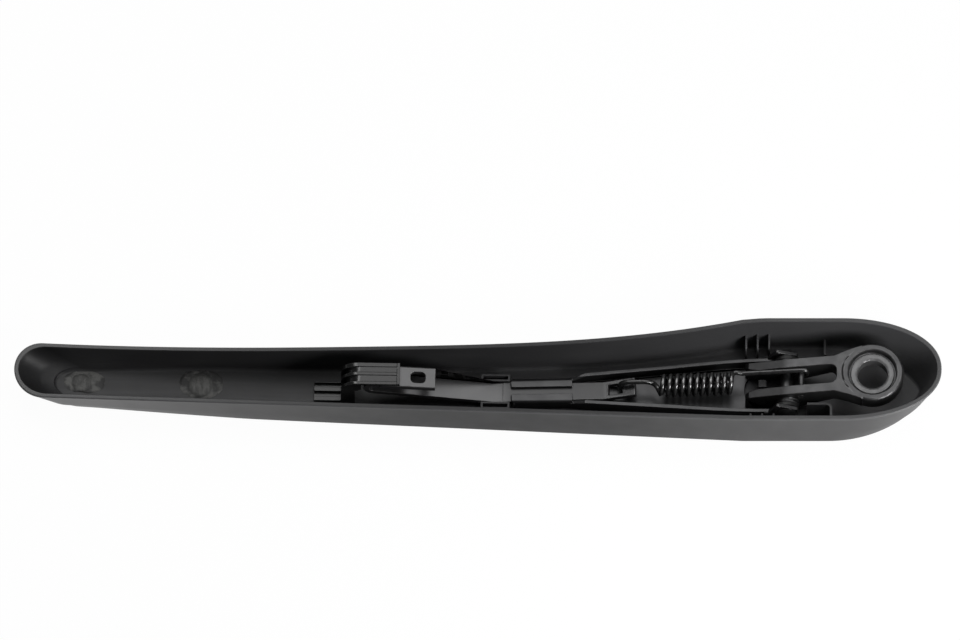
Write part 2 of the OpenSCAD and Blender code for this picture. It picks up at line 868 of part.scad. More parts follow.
// The spring's wire follows one route: hook in the tongue, coil, long leg, hook round the pin
coil_x0 = -coil_at;
coil_len = coil_turns * coil_pitch;
coil_mid_r = coil_r - wire_r;
coil_z = web_top + coil_up;
coil_rise = 1.4; // the coil's axis climbs from the tongue to the pin
leg_y = 2.8; // the long leg runs beside the fork's far arm
leg_up = 2.8;
anchor_shift = 1; // the wire lies against one side of the tongue's hole
pin_x = hinge_x + hook_pin_ahead;
pin_z = hinge_z + hook_pin_up;
bar_c = tongue_len - eyelet_from_end / 2;
bar_x = tongue_x + bar_c * cos(tongue_slope) - strap_t / 2 * sin(tongue_slope);
bar_z = web_top + bar_c * sin(tongue_slope) + strap_t / 2 * cos(tongue_slope);
function coil_y(x) = (x - hinge_x) * sin(channel_turn);
function coil_axis_z(x) = coil_z + coil_rise * (x - coil_x0) / coil_len;
function coil_point(turn) =
    let (x = coil_x0 + turn * coil_pitch)
    [x, coil_y(x) - coil_mid_r * sin(360 * turn + 90), coil_axis_z(x) - coil_mid_r * cos(360 * turn + 90)];
steps_per_turn = 16;
coil_extra = 7;
coil_x1 = coil_x0 + coil_len + coil_extra / steps_per_turn * coil_pitch;
hook_mid_r = hook_pin_r + hook_gap + wire_r;
anchor_r = norm([eyelet_from_end / 2, strap_t / 2]) + wire_r + seat_gap;
anchor_y = coil_y(bar_x) + anchor_shift;
spring_route = concat(
    [for (a = [-55:14.5:90])
        [bar_x - anchor_r * cos(a), anchor_y, bar_z + anchor_r * sin(a)]],
    [[(bar_x + coil_x0) / 2, anchor_y, bar_z + anchor_r + 0.2]],
    [[coil_x0 - 3.2, anchor_y - 0.3, bar_z + anchor_r - 0.8]],
    [[coil_x0 - 1.6, coil_y(coil_x0) - 1.8, coil_axis_z(coil_x0) + 3]],
    [for (i = [0:coil_turns * steps_per_turn + coil_extra]) coil_point(i / steps_per_turn)],
    [[coil_x1 + 1.2, leg_y + 0.1, coil_axis_z(coil_x1) + leg_up + 0.6]],
    [[coil_x1 + 3.2, leg_y, coil_axis_z(coil_x1) + leg_up]],
    [[coil_x1 + 6, leg_y, coil_axis_z(coil_x1) + leg_up]],
    [for (a = [100:-20:-60])
        [pin_x + hook_mid_r * cos(a), leg_y, pin_z + hook_mid_r * sin(a)]]
);

// A tube of wire swept along a route, with its ends closed
wire_sides = 10;
function unit(v) = v / norm(v);
function route_dir(p, i) = unit(p[min(i + 1, len(p) - 1)] - p[max(i - 1, 0)]);
function side_dir(d, last) = unit(last - d * (last * d));
function frames(p, i = 0, last = [0, 1, 0]) =
    i == len(p) ? []
    : let (side = side_dir(route_dir(p, i), last))
        concat([side], frames(p, i + 1, side));
module wire(p, r) {
    u = frames(p);
    n = len(p);
    s = wire_sides;
    polyhedron(
        points = [
            for (i = [0:n - 1])
                let (d = route_dir(p, i), v = cross(d, u[i]))
                for (j = [0:s - 1])
                    p[i] + r * (cos(360 * j / s) * u[i] + sin(360 * j / s) * v)
        ],
        faces = concat(
            [[for (j = [s - 1:-1:0]) j]],
            [
                for (i = [0:n - 2])
                    for (j = [0:s - 1])
                        let (
                            a = i * s + j,
                            b = i * s + (j + 1) % s,
                            c = (i + 1) * s + (j + 1) % s,
                            d = (i + 1) * s + j
                        )
                        each [[a, b, c], [a, c, d]]
            ],
            [[for (j = [0:s - 1]) (n - 1) * s + j]]
        ),
        convexity = 12
    );
}

module tension_spring() {
    color([0.45, 0.45, 0.46])
        wire(spring_route, wire_r);
}

// The rivet: shank through ears and bushes, a domed head on each ear
module rivet_head(side) {
    dome_r = (rivet_r * rivet_r + rivet_h * rivet_h) / (2 * rivet_h);
    translate([hinge_x, side * ear_half, hinge_z])
        rotate([-90 * side, 0, 0])
            intersection() {
                cylinder(r = rivet_r, h = rivet_h);
                translate([0, 0, rivet_h - dome_r])
                    sphere(r = dome_r);
            }
}

module hinge_rivet() {
    color([0.5, 0.5, 0.51])
        union() {
            translate([hinge_x, 0, hinge_z])
                along_y(pin_r, -ear_half, ear_half);
            rivet_head(1);
            rivet_head(-1);
        }
}

// Side outline of the fork's arms: the top falls from the eye to the fork's end, the foot stops on the web
stop_gap = 0.1;
module fork_outline() {
    knee_x = hinge_x + 2.2;
    tip_bevel = 1.3;
    polygon([
        [-4, eye_top],
        [-eye_r + 3.4, eye_top],
        [knee_x, hinge_z + knee_up],
        [tip_bevel - fork_reach, hinge_z + fork_tip_up],
        [-fork_reach, hinge_z + fork_tip_up - tip_bevel],
        [-fork_reach, web_top + stop_gap],
        [hinge_x - 8, web_top + stop_gap],
        [hinge_x - 3, hinge_z - 5],
        [hinge_x + 4, hinge_z - 5],
        [-eye_r - 1.4, eye_low - 0.6],
        [-eye_r + 3.4, eye_low],
        [-4, eye_low]
    ]);
}

module fork_plan() {
    gap_r = 2.6;
    shoulder_a = 110;
    mouth = 1.6;
    mouth_len = 5.4;
    difference() {
        union() {
            translate([-fork_reach, -fork_w / 2])
                square([fork_reach - eye_r, fork_w]);
            polygon([
                [-eye_r - 3, fork_w / 2],
                [eye_r * cos(shoulder_a), eye_r * sin(shoulder_a)],
                [0, 0],
                [eye_r * cos(shoulder_a), -eye_r * sin(shoulder_a)],
                [-eye_r - 3, -fork_w / 2]
            ]);
        }
        translate([-fork_reach - 1, -fork_gap / 2])
            square([fork_reach + 1 - eye_r - 2 - gap_r, fork_gap]);
        translate([-fork_reach - 1, gap_r - fork_gap / 2])
            square([fork_reach + 1 - eye_r - 2, fork_gap - 2 * gap_r]);
        for (side = [-1, 1])
            translate([-eye_r - 2 - gap_r, side * (fork_gap / 2 - gap_r)])
                circle(r = gap_r);
        polygon([
            [-fork_reach - 1, fork_gap / 2 + mouth],
            [-fork_reach + mouth_len, fork_gap / 2 - 0.1],
            [-fork_reach + mouth_len, 0.1 - fork_gap / 2],
            [-fork_reach - 1, -fork_gap / 2 - mouth]
        ]);
    }
}

module eye_ring() {
    edge = 0.7;
    rotate_extrude()
        polygon([
            [sleeve_r, eye_low],
            [eye_r - edge, eye_low],
            [eye_r, eye_low + edge],
            [eye_r, eye_top - edge],
            [eye_r - edge, eye_top],
            [recess_r + 0.5, eye_top],
            [recess_r, eye_top - 0.5],
            [recess_r, eye_top - recess_deep - 0.6],
            [sleeve_r, eye_top - recess_deep - 0.6]
        ]);
}

module mounting_head() {
    bush_r = pin_r + run_gap + bush_wall;
    hub_r = 5;
    lap = 1;
    color([0.4, 0.4, 0.41])
        difference() {
            union() {
                eye_ring();
                difference() {
                    intersection() {
                        upright(-eye_r, eye_r)
                            fork_outline();
                        translate([0, 0, crown_low])
                            linear_extrude(height = 2 * shell_depth)
                                fork_plan();
                    }
                    translate([0, 0, crown_low])
                        cylinder(r = recess_r + 1, h = 2 * shell_depth);
                }
                for (side = [-1, 1])
                    translate([hinge_x, 0, hinge_z])
                        along_y(
                            hub_r,
                            side > 0 ? fork_w / 2 - lap : -hub_w / 2,
                            side > 0 ? hub_w / 2 : lap - fork_w / 2
                        );
            }
            translate([hinge_x, 0, hinge_z])
                along_y(bush_r, -ear_w, ear_w);
            translate([pin_x, 0, pin_z])
                along_y(hook_pin_r, -ear_w, ear_w);
        }
}

// The pressed-in sleeve: plain bore with two chamfers, serrated outside
module spindle_sleeve() {
    sleeve_top = bore_chamfer;
    teeth = 36;
    tooth = 0.35;
    color([0.55, 0.55, 0.56])
        difference() {
            rotate_extrude()
                polygon([
                    [bore_r, eye_low + bore_chamfer],
                    [bore_r + bore_chamfer, eye_low],
                    [sleeve_r, eye_low],
                    [sleeve_r, sleeve_top],
                    [bore_r + 2 * bore_chamfer, sleeve_top],
                    [bore_r, 0]
                ]);
            for (i = [0:teeth - 1])
                rotate([0, 0, 360 * i / teeth])
                    translate([sleeve_r, 0, sleeve_top - 0.5])
                        rotate([0, 0, 45])
                            cube([tooth, tooth, 2], center = true);
        }
}

module hook_pin() {
    color([0.5, 0.5, 0.51])
        translate([pin_x, 0, pin_z])
            along_y(hook_pin_r, -fork_w / 2, fork_w / 2);
}

// Flanged bush pressed into one arm of the fork
module hinge_bush(side) {
    flange_out = ear_half - sheet - side_gap;
    color([0.16, 0.16, 0.17])
        mirror([0, side < 0 ? 1 : 0, 0])
            translate([hinge_x, 0, hinge_z])
                difference() {
                    union() {
                        along_y(pin_r + run_gap + bush_wall, fork_gap / 2, flange_out);
                        along_y(bush_flange_r, hub_w / 2, flange_out);
                    }
                    along_y(pin_r + run_gap, 0, ear_half);
                }
}
module hinge_bush_far() { hinge_bush(1); }
module hinge_bush_near() { hinge_bush(-1); }

arm_shell();
retainer_channel();
arm_strap();
blade_adapter();
tension_spring();
hinge_rivet();
mounting_head();
spindle_sleeve();
hook_pin();
hinge_bush_far();
hinge_bush_near();
compound_pad_tip();
compound_pad_mid();
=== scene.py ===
"""Looks of a covered rear wiper arm, lying with its open glass side up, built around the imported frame."""

from __future__ import annotations

import logging
import math
from dataclasses import dataclass, field
from enum import Enum
from itertools import pairwise
from typing import Iterable, Mapping, Sequence, Union

import bmesh
import bpy
from mathutils import Matrix, Vector, noise
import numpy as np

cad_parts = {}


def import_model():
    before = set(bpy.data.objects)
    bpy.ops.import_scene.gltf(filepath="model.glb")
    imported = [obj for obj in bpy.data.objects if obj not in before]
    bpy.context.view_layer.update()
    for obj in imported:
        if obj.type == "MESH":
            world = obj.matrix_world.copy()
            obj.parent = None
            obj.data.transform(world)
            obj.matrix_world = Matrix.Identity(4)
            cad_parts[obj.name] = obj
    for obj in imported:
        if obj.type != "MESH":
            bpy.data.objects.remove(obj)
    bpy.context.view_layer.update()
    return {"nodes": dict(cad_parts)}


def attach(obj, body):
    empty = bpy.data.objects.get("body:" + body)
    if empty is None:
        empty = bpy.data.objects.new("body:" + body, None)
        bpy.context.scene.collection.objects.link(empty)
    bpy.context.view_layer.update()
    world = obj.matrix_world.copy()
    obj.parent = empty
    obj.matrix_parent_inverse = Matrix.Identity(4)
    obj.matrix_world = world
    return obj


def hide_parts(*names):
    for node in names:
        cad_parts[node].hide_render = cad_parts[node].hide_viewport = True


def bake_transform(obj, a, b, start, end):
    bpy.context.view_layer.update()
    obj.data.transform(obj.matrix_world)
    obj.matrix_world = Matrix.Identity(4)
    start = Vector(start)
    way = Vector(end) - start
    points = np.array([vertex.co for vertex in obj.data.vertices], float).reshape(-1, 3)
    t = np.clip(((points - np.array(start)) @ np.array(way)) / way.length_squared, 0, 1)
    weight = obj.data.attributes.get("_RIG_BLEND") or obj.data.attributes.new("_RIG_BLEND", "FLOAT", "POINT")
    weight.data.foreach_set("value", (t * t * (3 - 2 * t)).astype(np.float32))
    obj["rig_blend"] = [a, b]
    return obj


LOG = logging.getLogger("wiper_arm")
MM = 0.001
SHARP_TURN = 48.0
Colour = tuple[float, float, float]
Point = tuple[float, float, float]
Flat = tuple[float, float]
Level = tuple[float, ...]
Face = tuple[int, ...]
Verts = list[bmesh.types.BMVert]


class Carrier(Enum):
    """The two bodies that the hinge joins."""

    ARM = "arm"
    HEAD = "head"


class Slot(Enum):
    """Material slots of the record."""

    SHELL = "shell_plastic"
    CHANNEL = "channel_steel"
    STRAP = "strap_steel"
    ADAPTER = "adapter_plastic"
    SPRING = "spring_steel"
    RIVET = "rivet_steel"
    CASTING = "die_cast"
    SLEEVE = "sleeve_steel"
    BUSH = "bush_plastic"
    COMPOUND = "compound"


# Shader graphs


class Value:
    """One output of a shader node. Arithmetic on it adds Math nodes."""

    def __init__(self, graph: ShaderGraph, socket: bpy.types.NodeSocket) -> None:
        """Wraps a node's output socket."""
        self.graph = graph
        self.socket = socket

    def __add__(self, other: Term) -> Value:
        """Sum of the two."""
        return self.graph.math("ADD", self, other)

    def __radd__(self, other: Term) -> Value:
        """Sum with a plain number on the left."""
        return self.graph.math("ADD", other, self)

    def __sub__(self, other: Term) -> Value:
        """Difference of the two."""
        return self.graph.math("SUBTRACT", self, other)

    def __rsub__(self, other: Term) -> Value:
        """Difference from a plain number."""
        return self.graph.math("SUBTRACT", other, self)

    def __mul__(self, other: Term) -> Value:
        """Product of the two."""
        return self.graph.math("MULTIPLY", self, other)

    def __rmul__(self, other: Term) -> Value:
        """Product with a plain number on the left."""
        return self.graph.math("MULTIPLY", other, self)

    def __abs__(self) -> Value:
        """Size of the value, without its sign."""
        return self.graph.math("ABSOLUTE", self, 0.0)


Term = Union[Value, float]


class ShaderGraph:
    """The node tree of one material, filled through a few calls."""

    def __init__(self, name: str) -> None:
        """Starts an empty tree for a new material of that name."""
        self.material = bpy.data.materials.new(name)
        self.material.use_nodes = True
        self.tree = self.material.node_tree
        self.tree.nodes.clear()
        self.place = self.node("ShaderNodeTexCoord", {}, {}, "Object")

    def node(
        self,
        kind: str,
        settings: Mapping[str, object],
        inputs: Mapping[Union[str, int], object],
        output: Union[str, int] = 0,
    ) -> Value:
        """Adds a node.

        Args:
            kind: Blender's name of the node type.
            settings: properties that are set first.
            inputs: sockets, by name or number, with a number, a vector or a Value to link.
            output: the output to hand back.

        Returns:
            The chosen output.
        """
        made = self.tree.nodes.new(kind)
        for name, setting in settings.items():
            setattr(made, name, setting)
        for key, given in inputs.items():
            if isinstance(given, Value):
                self.tree.links.new(given.socket, made.inputs[key])
            else:
                made.inputs[key].default_value = given
        outputs = made.outputs
        return Value(self, outputs[output]) if len(outputs) else Value(self, None)

    def math(self, operation: str, first: Term, second: Term) -> Value:
        """Adds one Math node."""
        return self.node("ShaderNodeMath", {"operation": operation}, {0: first, 1: second})

    def band(self, value: Value, low: float, high: float) -> Value:
        """Smooth step from 0 at low to 1 at high."""
        return self.node(
            "ShaderNodeMapRange",
            {"interpolation_type": "SMOOTHSTEP"},
            {"Value": value, "From Min": low, "From Max": high},
        )

    def span(self, value: Value, low: float, high: float) -> Value:
        """Straight line from low at 0 to high at 1."""
        return value * (high - low) + low

    def noise(self, cells: float, detail: float = 3.0, stretch: Point = (1.0, 1.0, 1.0)) -> Value:
        """Fractal noise between 0 and 1.

        Args:
            cells: how many cells there are in a metre.
            detail: how many finer layers are added.
            stretch: factors on the number of cells along X, Y and Z.

        Returns:
            The noise.
        """
        place = self.node("ShaderNodeMapping", {}, {"Vector": self.place, "Scale": stretch})
        return self.node("ShaderNodeTexNoise", {}, {"Vector": place, "Scale": cells, "Detail": detail})

    def axis(self, index: int) -> Value:
        """X, Y or Z of the place, in metres."""
        return self.node("ShaderNodeSeparateXYZ", {}, {0: self.place}, index)

    def attribute(self, name: str) -> Value:
        """A number that the mesh carries."""
        return self.node("ShaderNodeAttribute", {"attribute_name": name}, {}, "Fac")

    def blend(self, factor: Term, first: Union[Value, Colour], second: Union[Value, Colour]) -> Value:
        """Colour that goes from the first to the second as the factor goes from 0 to 1."""
        ends = [c if isinstance(c, Value) else (*c, 1.0) for c in (first, second)]
        return self.node("ShaderNodeMix", {"data_type": "RGBA"}, {0: factor, 6: ends[0], 7: ends[1]}, 2)

    def close(self, shader: Value) -> bpy.types.Material:
        """Links the shader to the output and hands back the material."""
        self.node("ShaderNodeOutputMaterial", {}, {"Surface": shader})
        return self.material


# Finishes


def shade(colour: Colour, share: float) -> Colour:
    """A colour made darker or lighter."""
    return tuple(share * c for c in colour)


@dataclass(frozen=True)
class Finish:
    """A surface with two tones that mottle into each other, a wandering gloss, a grain and eased edges."""

    name: str
    slot: Slot
    tone: Colour
    second_tone: Colour
    edge_tone: Colour
    roughness: tuple[float, float]
    grain_cells: float = 1500.0
    grain_depth: float = 0.006
    mottle_cells: float = 90.0
    metallic: float = 0.0
    specular: float = 0.5
    # Share of the edge tone: rubbed edges, and on the spring wire a painted highlight.
    edge_wear_and_highlight: float = 0.5
    stretch: Point = (1.0, 1.0, 1.0)
    painted_shade_from: Union[Flat, None] = None
    painted_shade_level: float = 0.66
    coat_roughness: float = 0.42

    def colour(self, graph: ShaderGraph) -> Value:
        """The mottled tone, with rubbed edges and, where given, painted shade from a place along the arm
        onwards.
        """
        mottle = graph.band(graph.noise(self.mottle_cells, 4.0, self.stretch), 0.32, 0.68)
        ground = graph.blend(mottle, self.tone, self.second_tone)
        # Painted shade: the tone is darkened from a place along the arm onwards.
        if self.painted_shade_from:
            painted_dark = shade(self.tone, self.painted_shade_level)
            ground = graph.blend(graph.band(graph.axis(0), *self.painted_shade_from), ground, painted_dark)
        rubbed = graph.attribute("edge_share") * graph.band(graph.noise(420.0, 3.0), 0.34, 0.62)
        return graph.blend(rubbed * self.edge_wear_and_highlight, ground, self.edge_tone)

    def gloss(self, graph: ShaderGraph) -> Value:
        """Roughness from patch to patch."""
        return graph.span(graph.noise(self.mottle_cells * 2.3, 3.0, self.stretch), *self.roughness)

    def coat(self, graph: ShaderGraph) -> Term:
        """Weight of the glossy skin over the colour."""
        return 0.0

    def relief(self, graph: ShaderGraph) -> Value:
        """Height of the grain, from 0 to 1."""
        return graph.noise(self.grain_cells, 2.0, self.stretch)

    def build(self) -> bpy.types.Material:
        """Makes the material and hands it back."""
        graph = ShaderGraph(self.name)
        normal = graph.node(
            "ShaderNodeBump",
            {},
            {"Strength": 1.0, "Distance": self.grain_depth * MM, "Height": self.relief(graph)},
        )
        shader = graph.node(
            "ShaderNodeBsdfPrincipled",
            {},
            {
                "Base Color": self.colour(graph),
                "Roughness": self.gloss(graph),
                "Metallic": self.metallic,
                "Specular IOR Level": self.specular,
                "Coat Weight": self.coat(graph),
                "Coat Roughness": self.coat_roughness,
                "Normal": normal,
            },
        )
        return graph.close(shader)


@dataclass(frozen=True)
class ShellPlastic(Finish):
    """Moulded plastic: grained outside, duller and streaked inside, with a scratch along the floor; painted
    light by the head and painted shade in the blade end inside, and a painted highlight along the rim.
    """

    inner_tone: Colour = (0.028, 0.028, 0.029)
    # Inside, the tone is painted paler towards the head as painted light and darker in the blade end as
    # painted shade.
    painted_light_from: Flat = (-0.20, -0.02)
    painted_shade_until: Flat = (-0.338, -0.318)
    smooth_until: Flat = (-0.345, -0.15)
    smooth_from: Flat = (-0.12, -0.02)
    scratch_tone: Colour = (0.11, 0.11, 0.11)
    scratch_x: Flat = (-0.2348, -0.2128)
    scratch_y: float = 0.0097
    scratch_half: float = 0.00012

    def colour(self, graph: ShaderGraph) -> Value:
        """The outer tone with a painted highlight along the rounded rim, the inner tone and the scratch."""
        # The rounded rim is painted lighter with the edge tone as a painted highlight.
        outer = graph.blend(0.75 * graph.attribute("rim"), super().colour(graph), self.edge_tone)
        skin = graph.blend(graph.attribute("inside"), outer, self._inner(graph))
        return graph.blend(self._scratch(graph) * 0.5, skin, self.scratch_tone)

    def _inner(self, graph: ShaderGraph) -> Value:
        """The inner tone with its flow streaks, with painted light by the head and painted shade in the
        blade end.
        """
        streak = graph.band(graph.noise(60.0, 4.0, (0.25, 4.0, 1.0)), 0.4, 0.75)
        ground = graph.blend(streak, self.inner_tone, shade(self.inner_tone, 1.4))
        # Painted light towards the head and painted shade in the blade end, put into the colour.
        painted_head_light = 0.8 * graph.band(graph.axis(0), *self.painted_light_from)
        painted_tip_shade = 1 - graph.band(graph.axis(0), *self.painted_shade_until)
        with_painted_light = graph.blend(painted_head_light, ground, shade(self.inner_tone, 2.1))
        return graph.blend(painted_tip_shade, with_painted_light, shade(self.inner_tone, 0.3))

    def _scratch(self, graph: ShaderGraph) -> Value:
        """1 on the fine scratch on the floor, 0 elsewhere."""
        across = abs(graph.axis(1) - self.scratch_y - 0.00015 * graph.noise(150.0))
        line = 1 - graph.band(across, 0.4 * self.scratch_half, self.scratch_half)
        start = graph.band(graph.axis(0), self.scratch_x[0], self.scratch_x[0] + 0.004)
        end = 1 - graph.band(graph.axis(0), self.scratch_x[1] - 0.006, self.scratch_x[1])
        low = 1 - graph.band(graph.axis(2), -0.0160, -0.0155)
        return line * start * end * low * graph.attribute("inside")

    def gloss(self, graph: ShaderGraph) -> Value:
        """Roughness, a little glossier inside."""
        return super().gloss(graph) - 0.05 * graph.attribute("inside")

    def coat(self, graph: ShaderGraph) -> Term:
        """A skin that is handled smooth towards both ends, outside only."""
        tip = 1 - graph.band(graph.axis(0), *self.smooth_until)
        heel = graph.band(graph.axis(0), *self.smooth_from)
        return (0.75 * tip + 0.4 * heel) * (1 - graph.attribute("inside"))


@dataclass(frozen=True)
class CoatedCasting(Finish):
    """Coated casting with painted shade on the fork ends, which tilt away from the light, so that they read
    darker than the eye.
    """

    # Painted shade on the fork ends, below this stretch along the arm.
    painted_shade_until: Flat = (-0.0368, -0.0325)
    painted_shade_share: float = 0.42
    wander: float = 0.003

    def colour(self, graph: ShaderGraph) -> Value:
        """The mottled tone, darkened at the fork ends as painted shade."""
        place = graph.axis(0) + self.wander * graph.noise(260.0)
        unshaded = graph.band(place, *(x + self.wander / 2 for x in self.painted_shade_until))
        return graph.blend(unshaded, shade(self.tone, self.painted_shade_share), super().colour(graph))


@dataclass(frozen=True)
class PaintedHighlightWire(Finish):
    """Spring wire: dark coating, with a painted highlight on the crowns of the turns and along the leg."""

    def colour(self, graph: ShaderGraph) -> Value:
        """Dark coat, painted pale as a highlight where the mesh marks the crowns."""
        coat = graph.blend(graph.band(graph.noise(300.0, 3.0), 0.35, 0.7), self.tone, self.second_tone)
        painted_highlight = graph.attribute("crown") * graph.band(graph.noise(700.0, 2.0), 0.2, 0.5)
        return graph.blend(painted_highlight * self.edge_wear_and_highlight, coat, self.edge_tone)


@dataclass(frozen=True)
class SmearedCompound(Finish):
    """Sealing compound: pale patches over a thin dark film, with fibres drawn out as it was pressed."""

    def colour(self, graph: ShaderGraph) -> Value:
        """Patches of pale compound on the thin film."""
        patches = 0.8 * graph.band(graph.noise(230.0, 4.0), 0.42, 0.62)
        fibres = graph.band(graph.noise(900.0, 3.0, (1.0, 0.25, 1.0)), 0.4, 0.65)
        thick = graph.attribute("thick")
        cover = graph.math("MAXIMUM", patches * (1 - thick), thick * graph.span(fibres, 0.35, 0.8))
        return graph.blend(cover, self.tone, self.second_tone)


@dataclass(frozen=True)
class FinishBook:
    """Every finish on the arm."""

    shell: Finish = ShellPlastic(
        "grained_shell_plastic", Slot.SHELL, (0.022, 0.022, 0.023), (0.027, 0.027, 0.028),
        (0.085, 0.085, 0.087), (0.42, 0.54), grain_cells=1700.0, grain_depth=0.014,
        mottle_cells=55.0, specular=0.22, edge_wear_and_highlight=0.35,
    )
    channel: Finish = Finish(
        "dark_coated_sheet", Slot.CHANNEL, (0.038, 0.038, 0.039), (0.050, 0.050, 0.051),
        (0.12, 0.12, 0.122), (0.26, 0.36), grain_cells=1300.0, grain_depth=0.005,
        mottle_cells=120.0, metallic=0.8, edge_wear_and_highlight=0.55,
    )
    strap: Finish = Finish(
        "satin_grey_strip", Slot.STRAP, (0.070, 0.070, 0.071), (0.084, 0.084, 0.085),
        (0.16, 0.16, 0.163), (0.30, 0.40), grain_cells=1400.0, grain_depth=0.006,
        mottle_cells=70.0, metallic=0.75, edge_wear_and_highlight=0.6, stretch=(0.5, 1.0, 1.0),
        # Painted shade on the strap from the neck towards the head, where the channel's lips shade it.
        painted_shade_from=(-0.151, -0.143),
    )
    adapter: Finish = Finish(
        "smooth_dark_moulding", Slot.ADAPTER, (0.008, 0.008, 0.008), (0.012, 0.012, 0.012),
        (0.05, 0.05, 0.052), (0.18, 0.28), grain_cells=900.0, grain_depth=0.003,
        mottle_cells=80.0, specular=0.42, edge_wear_and_highlight=0.4,
    )
    casting: Finish = CoatedCasting(
        "satin_coated_casting", Slot.CASTING, (0.042, 0.042, 0.043), (0.058, 0.058, 0.059),
        (0.12, 0.12, 0.122), (0.32, 0.44), grain_cells=900.0, grain_depth=0.016,
        mottle_cells=160.0, metallic=0.8, edge_wear_and_highlight=0.45,
    )
    sleeve: Finish = Finish(
        "turned_dull_steel", Slot.SLEEVE, (0.075, 0.075, 0.076), (0.105, 0.105, 0.107),
        (0.25, 0.25, 0.25), (0.28, 0.42), grain_cells=1600.0, grain_depth=0.005,
        mottle_cells=240.0, metallic=0.35, edge_wear_and_highlight=0.6,
    )
    rivet: Finish = Finish(
        "dull_rivet_steel", Slot.RIVET, (0.030, 0.030, 0.031), (0.048, 0.048, 0.049),
        (0.14, 0.14, 0.14), (0.26, 0.38), grain_cells=1500.0, grain_depth=0.004,
        mottle_cells=260.0, metallic=0.6, edge_wear_and_highlight=0.5,
    )
    bush: Finish = Finish(
        "bearing_plastic", Slot.BUSH, (0.012, 0.012, 0.012), (0.017, 0.017, 0.017),
        (0.04, 0.04, 0.04), (0.44, 0.54), mottle_cells=200.0, specular=0.25,
    )
    # The wire's pale crowns and leg are a painted highlight.
    wire: Finish = PaintedHighlightWire(
        "coated_spring_wire", Slot.SPRING, (0.020, 0.020, 0.020), (0.034, 0.034, 0.035),
        (0.17, 0.17, 0.17), (0.18, 0.28), grain_cells=1800.0, grain_depth=0.003,
        metallic=0.8, edge_wear_and_highlight=0.8,
    )
    compound: Finish = SmearedCompound(
        "smeared_compound", Slot.COMPOUND, (0.022, 0.022, 0.022), (0.105, 0.105, 0.100),
        (0.12, 0.12, 0.12), (0.48, 0.66), grain_cells=1200.0, grain_depth=0.05, specular=0.3,
    )


class Dresser:
    """Gives pieces their material and body."""

    def __init__(self) -> None:
        """Starts with no material made."""
        self.made: dict[str, bpy.types.Material] = {}

    def dress(self, piece: bpy.types.Object, finish: Finish, body: Union[Carrier, None]) -> None:
        """Dresses one piece.

        Args:
            piece: the mesh object.
            finish: its finish.
            body: the body that it rides on, or None where it bends between two.
        """
        if finish.name not in self.made:
            self.made[finish.name] = finish.build()
        piece.data.materials.clear()
        piece.data.materials.append(self.made[finish.name])
        if body is not None:
            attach(piece, body.value)
        LOG.info("%s: %d faces, %s", piece.name, len(piece.data.polygons), finish.name)


# Meshes


def placed(name: str, data: bpy.types.ID) -> bpy.types.Object:
    """A new object, linked to the scene."""
    made = bpy.data.objects.new(name, data)
    bpy.context.scene.collection.objects.link(made)
    return made


def faces_between(pairs: Iterable[tuple[int, int]], count: int) -> list[Face]:
    """Faces between pairs of closed rings, given by the rings' numbers and the points in each ring."""
    steps = [(k, (k + 1) % count) for k in range(count)]
    return [
        (a * count + k, a * count + after, b * count + after, b * count + k)
        for a, b in pairs for k, after in steps
    ]


